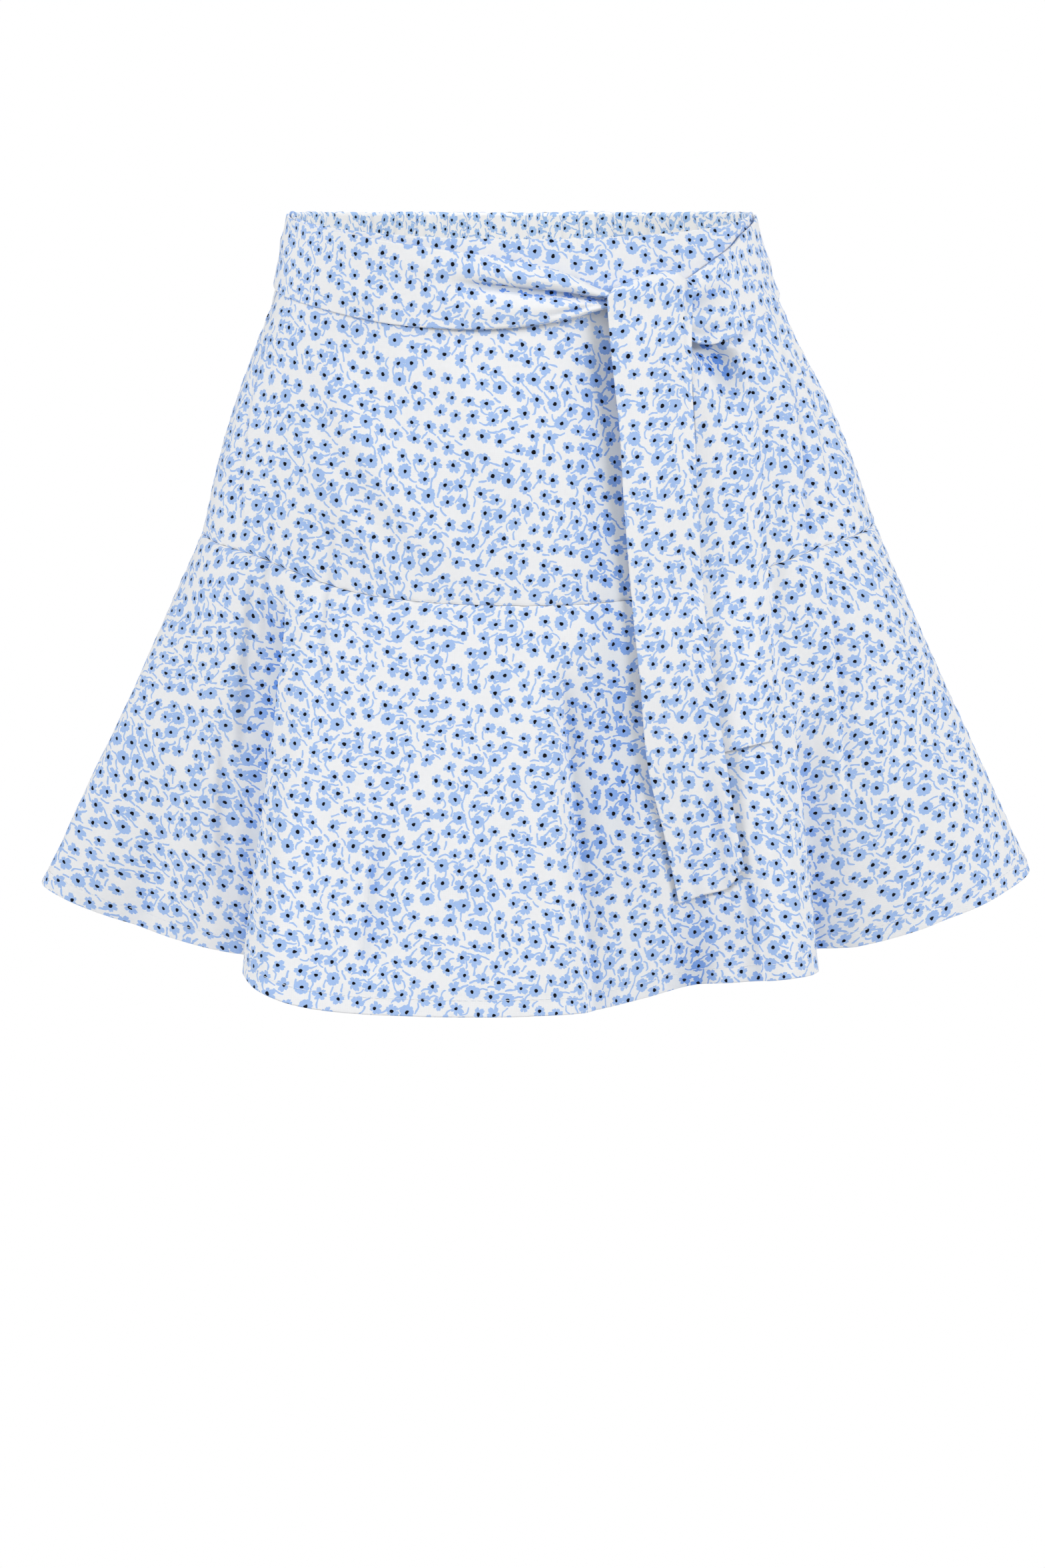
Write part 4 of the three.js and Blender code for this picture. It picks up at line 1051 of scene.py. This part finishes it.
backTail = {
    "stations": tableOf(stripColumns, [
        (0, 0.30, 34.8, 45.5, 1.6), (1, 0.35, 35.8, 47.4, 1.7), (2, 0.40, 36.2, 49.2, 1.7),
        (3, 0.54, 33.8, 49.0, 1.6), (4, 0.72, 30.8, 46.0, 1.6), (5, 0.94, 28.8, 42.8, 1.6),
        (6, 1.20, 27.6, 40.3, 1.6), (7, 1.415, 27.2, 38.7, 1.6)]),
    "columns": 40, "rows": 150, "wall": 1.2, "wide": 38, "length": 210, "flat": (0.040, 0.24), "seed": 52,
    "settles": (5, 7), "endRound": 0, "slant": 0, "cornerDrop": 0, "roundDrop": 0,
    "folds": tableOf(creaseColumns, [
        (0.3, 3.4, 1.0, 0.98, 0, 6, 5, 7.0, 0, 0.35, 0.6),
        (0, 3.6, 0.35, 0.62, 0, 13, 12, -4.6, 0.2, 0.1, 0.6),
        (2.5, 7, 0.80, 0.85, 0, 6, 8, 0.7, 0, 0.3, 0.2)]),
    "shade": tableOf(creaseColumns, [
        (0, 3.0, 0.30, 0.72, 0, 16, 7, 1.1, 0, 0, 0.6)]),
}


def clothRise(degrees, down):  # how far the front cloth's creases bring it off its form, metres
    unit = np.linalg.norm(skirtPoint(degrees + 0.5, down) - skirtPoint(degrees - 0.5, down), axis=-1) / mm
    upper = creaseRise(down, degrees, unit, frontYoke["creases"])
    return np.where(down <= 1, upper, creaseRise(down - 1, degrees, unit, frontFlounce["creases"]))


def makeStrip(name, plan, nodes):
    table, wide = plan["stations"], plan["wide"]
    last = table["step"][-1]
    share, step = np.meshgrid(spaced(0, 1, wide, plan["columns"], (0, 0.1, 0.25, 0.45, 0.75, 1.1, 1.6)),
                              spaced(0, last, plan["length"], plan["rows"], (0, 0.15, 0.4, 0.8)))
    down, left, right, lift = (follow(table, c, step) for c in ("down", "left", "right", "lift"))
    degrees = left + (right - left) * share
    # the knot's corners hang lower, and the end is cut on the slant with its right corner rounded
    fallen = plan["cornerDrop"] * (1 - share) ** 2 + plan["roundDrop"] * ramp((share - 0.8) / 0.2) ** 2
    down = down + fallen * ramp((7.5 - step) / 3)
    down = down + plan["slant"] * (0.5 - share) * ramp((step - last + 2) / 2)
    down = down - plan["endRound"] * ramp((share - 0.62) / 0.38) ** 2 * ramp(step - last + 1)
    fold = creaseRise(step, share, wide, plan["folds"]) / mm
    fold += unevenness(share * wide * mm, step * 20 * mm, 0.5, plan["seed"])  # a step is about 20 mm
    starts, ends = plan["settles"]
    settled = ramp((step - starts) / (ends - starts))
    middle = offSkirt(degrees, down, (lift + fold) * mm + settled * clothRise(degrees, down))
    normal = gridNormals(middle)
    run = runLength(middle, 0)
    room = np.minimum(np.minimum(share, 1 - share) * wide * mm, np.minimum(run, run[-1:] - run))
    half = (plan["wall"] / 2 * mm * edgeShare(room, plan["wall"] * mm))[..., None]
    cut = np.stack([fromMiddle(middle), -run], -1)
    # painted shade in the tail's hollows, with the shade table's rows under the knot where given
    folds = hollows(middle, normal, 1, (4, 8))
    if "shade" in plan:
        folds = folds + creaseRise(step, share, wide, plan["shade"]) / mm
    return addCloth(name, middle + normal * half, middle - normal * half, cut, cut + np.array([0.1, 0]),
                    (printedFace,), nodes=nodes, folds=folds)


tailFront = makeStrip("frontTailAndKnot", frontTail, ("sash_knot", "tail_front"))
tailBack = makeStrip("backTail", backTail, ("tail_back",))


# Inner shorts in plain jersey: one panel for each leg, seamed at the inseam and the middle.

shortsPlan = {
    "form": tableOf("at side front back", [  # half sizes by height, mm
        (-330, 152, 80, 88), (-250, 156, 88, 102), (-205, 158, 98, 112), (-165, 158, 104, 115),
        (-120, 148, 101, 109), (-75, 134, 94.5, 97), (-45, 126.3, 90.8, 89.6), (-25, 122.3, 88.0, 87.5),
        (-2, 117.9, 84.8, 84.8)]),
    "rings": tableOf("ring zFront zBack closed inner round", [
        (0, -2, -50, 0, 0, 0), (1, -35, -68, 0, 0, 0), (2, -78, -98, 0, 0, 0), (3, -122, -132, 0, 0, 0),
        (4, -165, -168, 0, 0, 0), (5, -200, -200, 0.12, 0, 0), (6, -226, -226, 0.42, 0, 0.04),
        (7, -244, -244, 0.78, 0, 0.12), (8, -254, -254, 1, 0.3, 0.22), (9, -288, -288, 1, 2, 0.5),
        (10, -322, -322, 1, 4, 0.7)]),
    "backStep": (72, 88),  # degrees over which a ring steps from its front height to its back height
    "flatShare": 0.25,     # share of a ring that runs along the middle, at each of its ends
    "trim": 0.00012, "gap": 0.06,  # left open at the inseam, share of a ring; between the legs, mm
    "wall": 0.8, "hemWall": 0.5, "hem": 20, "waistHem": 12,  # mm
    "columns": 110, "rows": 70, "flat": (0.60, 0.33), "area": 0.14,
}


def legPoint(side, t, ring, share):
    # t runs round a leg from the inseam, by the middle, front, side and back, to the inseam again
    plan = shortsPlan
    rings, form, flat = plan["rings"], plan["form"], plan["flatShare"]
    index = rings["ring"]
    arc = np.clip((t - flat) / (1 - 2 * flat), 0, 1) * 180
    drop = ramp((arc - plan["backStep"][0]) / (plan["backStep"][1] - plan["backStep"][0]))
    zFront, zBack = (np.interp(ring, index, rings[c]) for c in ("zFront", "zBack"))
    z = zFront * (1 - drop) + zBack * drop
    halfSide, front, back = (follow(form, c, z) for c in ("side", "front", "back"))
    inner = np.interp(ring, index, rings["inner"]) + plan["gap"] / 2
    middle = (back - front) / 2
    cosine = np.cos(np.radians(arc))
    x = np.where((t < flat) | (t > 1 - flat), inner, inner + (halfSide - inner) * np.sin(np.radians(arc)))
    y = np.where(t < flat, middle + (-front - middle) * t / flat,
                 np.where(t > 1 - flat, middle + (back - middle) * (1 - t) / flat,
                          -np.where(cosine > 0, front, back) * cosine))
    swing = 2 * math.pi * t  # round an oval, which the leg comes nearer to below the crotch
    ovalX = (halfSide + inner) / 2 - (halfSide - inner) / 2 * np.cos(swing)
    ovalY = middle - (back + front) / 2 * np.sin(swing)
    sewn = (1 - ramp(np.minimum(share, 1 - share) / 0.1)) * (1 - ramp(ring - 7))  # held to the middle seam
    round_ = np.interp(ring, index, rings["round"]) * (1 - sewn)
    return np.stack([side * (x + (ovalX - x) * round_), y + (ovalY - y) * round_, z], -1) * mm


def makeShortsLeg(name, side, node):
    plan, rings = shortsPlan, shortsPlan["rings"]
    share, ring = np.meshgrid(np.linspace(0, 1, plan["columns"]),
                              spaced(0, 10, 320, plan["rows"], (0, 0.2, 0.5, 1, 2)))
    start = plan["flatShare"] * (1 - np.interp(ring, rings["ring"], rings["closed"])) + plan["trim"]
    t = start + (1 - 2 * start) * share
    base = legPoint(side, t, ring, share)
    normal = gridNormals(base) * side
    run = runLength(base, 0) / mm
    toHem = run[-1:] - run
    hems = bell(toHem - plan["hem"], 0.8) + bell(run - plan["waistHem"], 0.8)
    rise = -0.3 * hems + 0.35 * np.sin(t * 90 + ring) * bell(run - 4, 8)
    outer = base + normal * (rise * mm)[..., None]
    turned = ramp((plan["hem"] - toHem) / 0.8) + ramp((plan["waistHem"] - run) / 0.8)
    wall = plan["wall"] + plan["hemWall"] * turned
    inner = outer - normal * (wall * mm)[..., None]
    outer, inner = closeEdge(outer, inner, edgeShare(np.minimum(toHem, run), plan["wall"] + plan["hemWall"]))
    cut = np.stack([fromMiddle(base), -run * mm], -1)
    if side < 0:
        outer, inner, cut = outer[:, ::-1], inner[:, ::-1], cut[:, ::-1]
    return addCloth(name, outer, inner, cut, None, (jersey,), (node,))


shortsLeft = makeShortsLeg("leftShortsLeg", -1, "shorts_left")
shortsRight = makeShortsLeg("rightShortsLeg", 1, "shorts_right")
print("all pieces made")
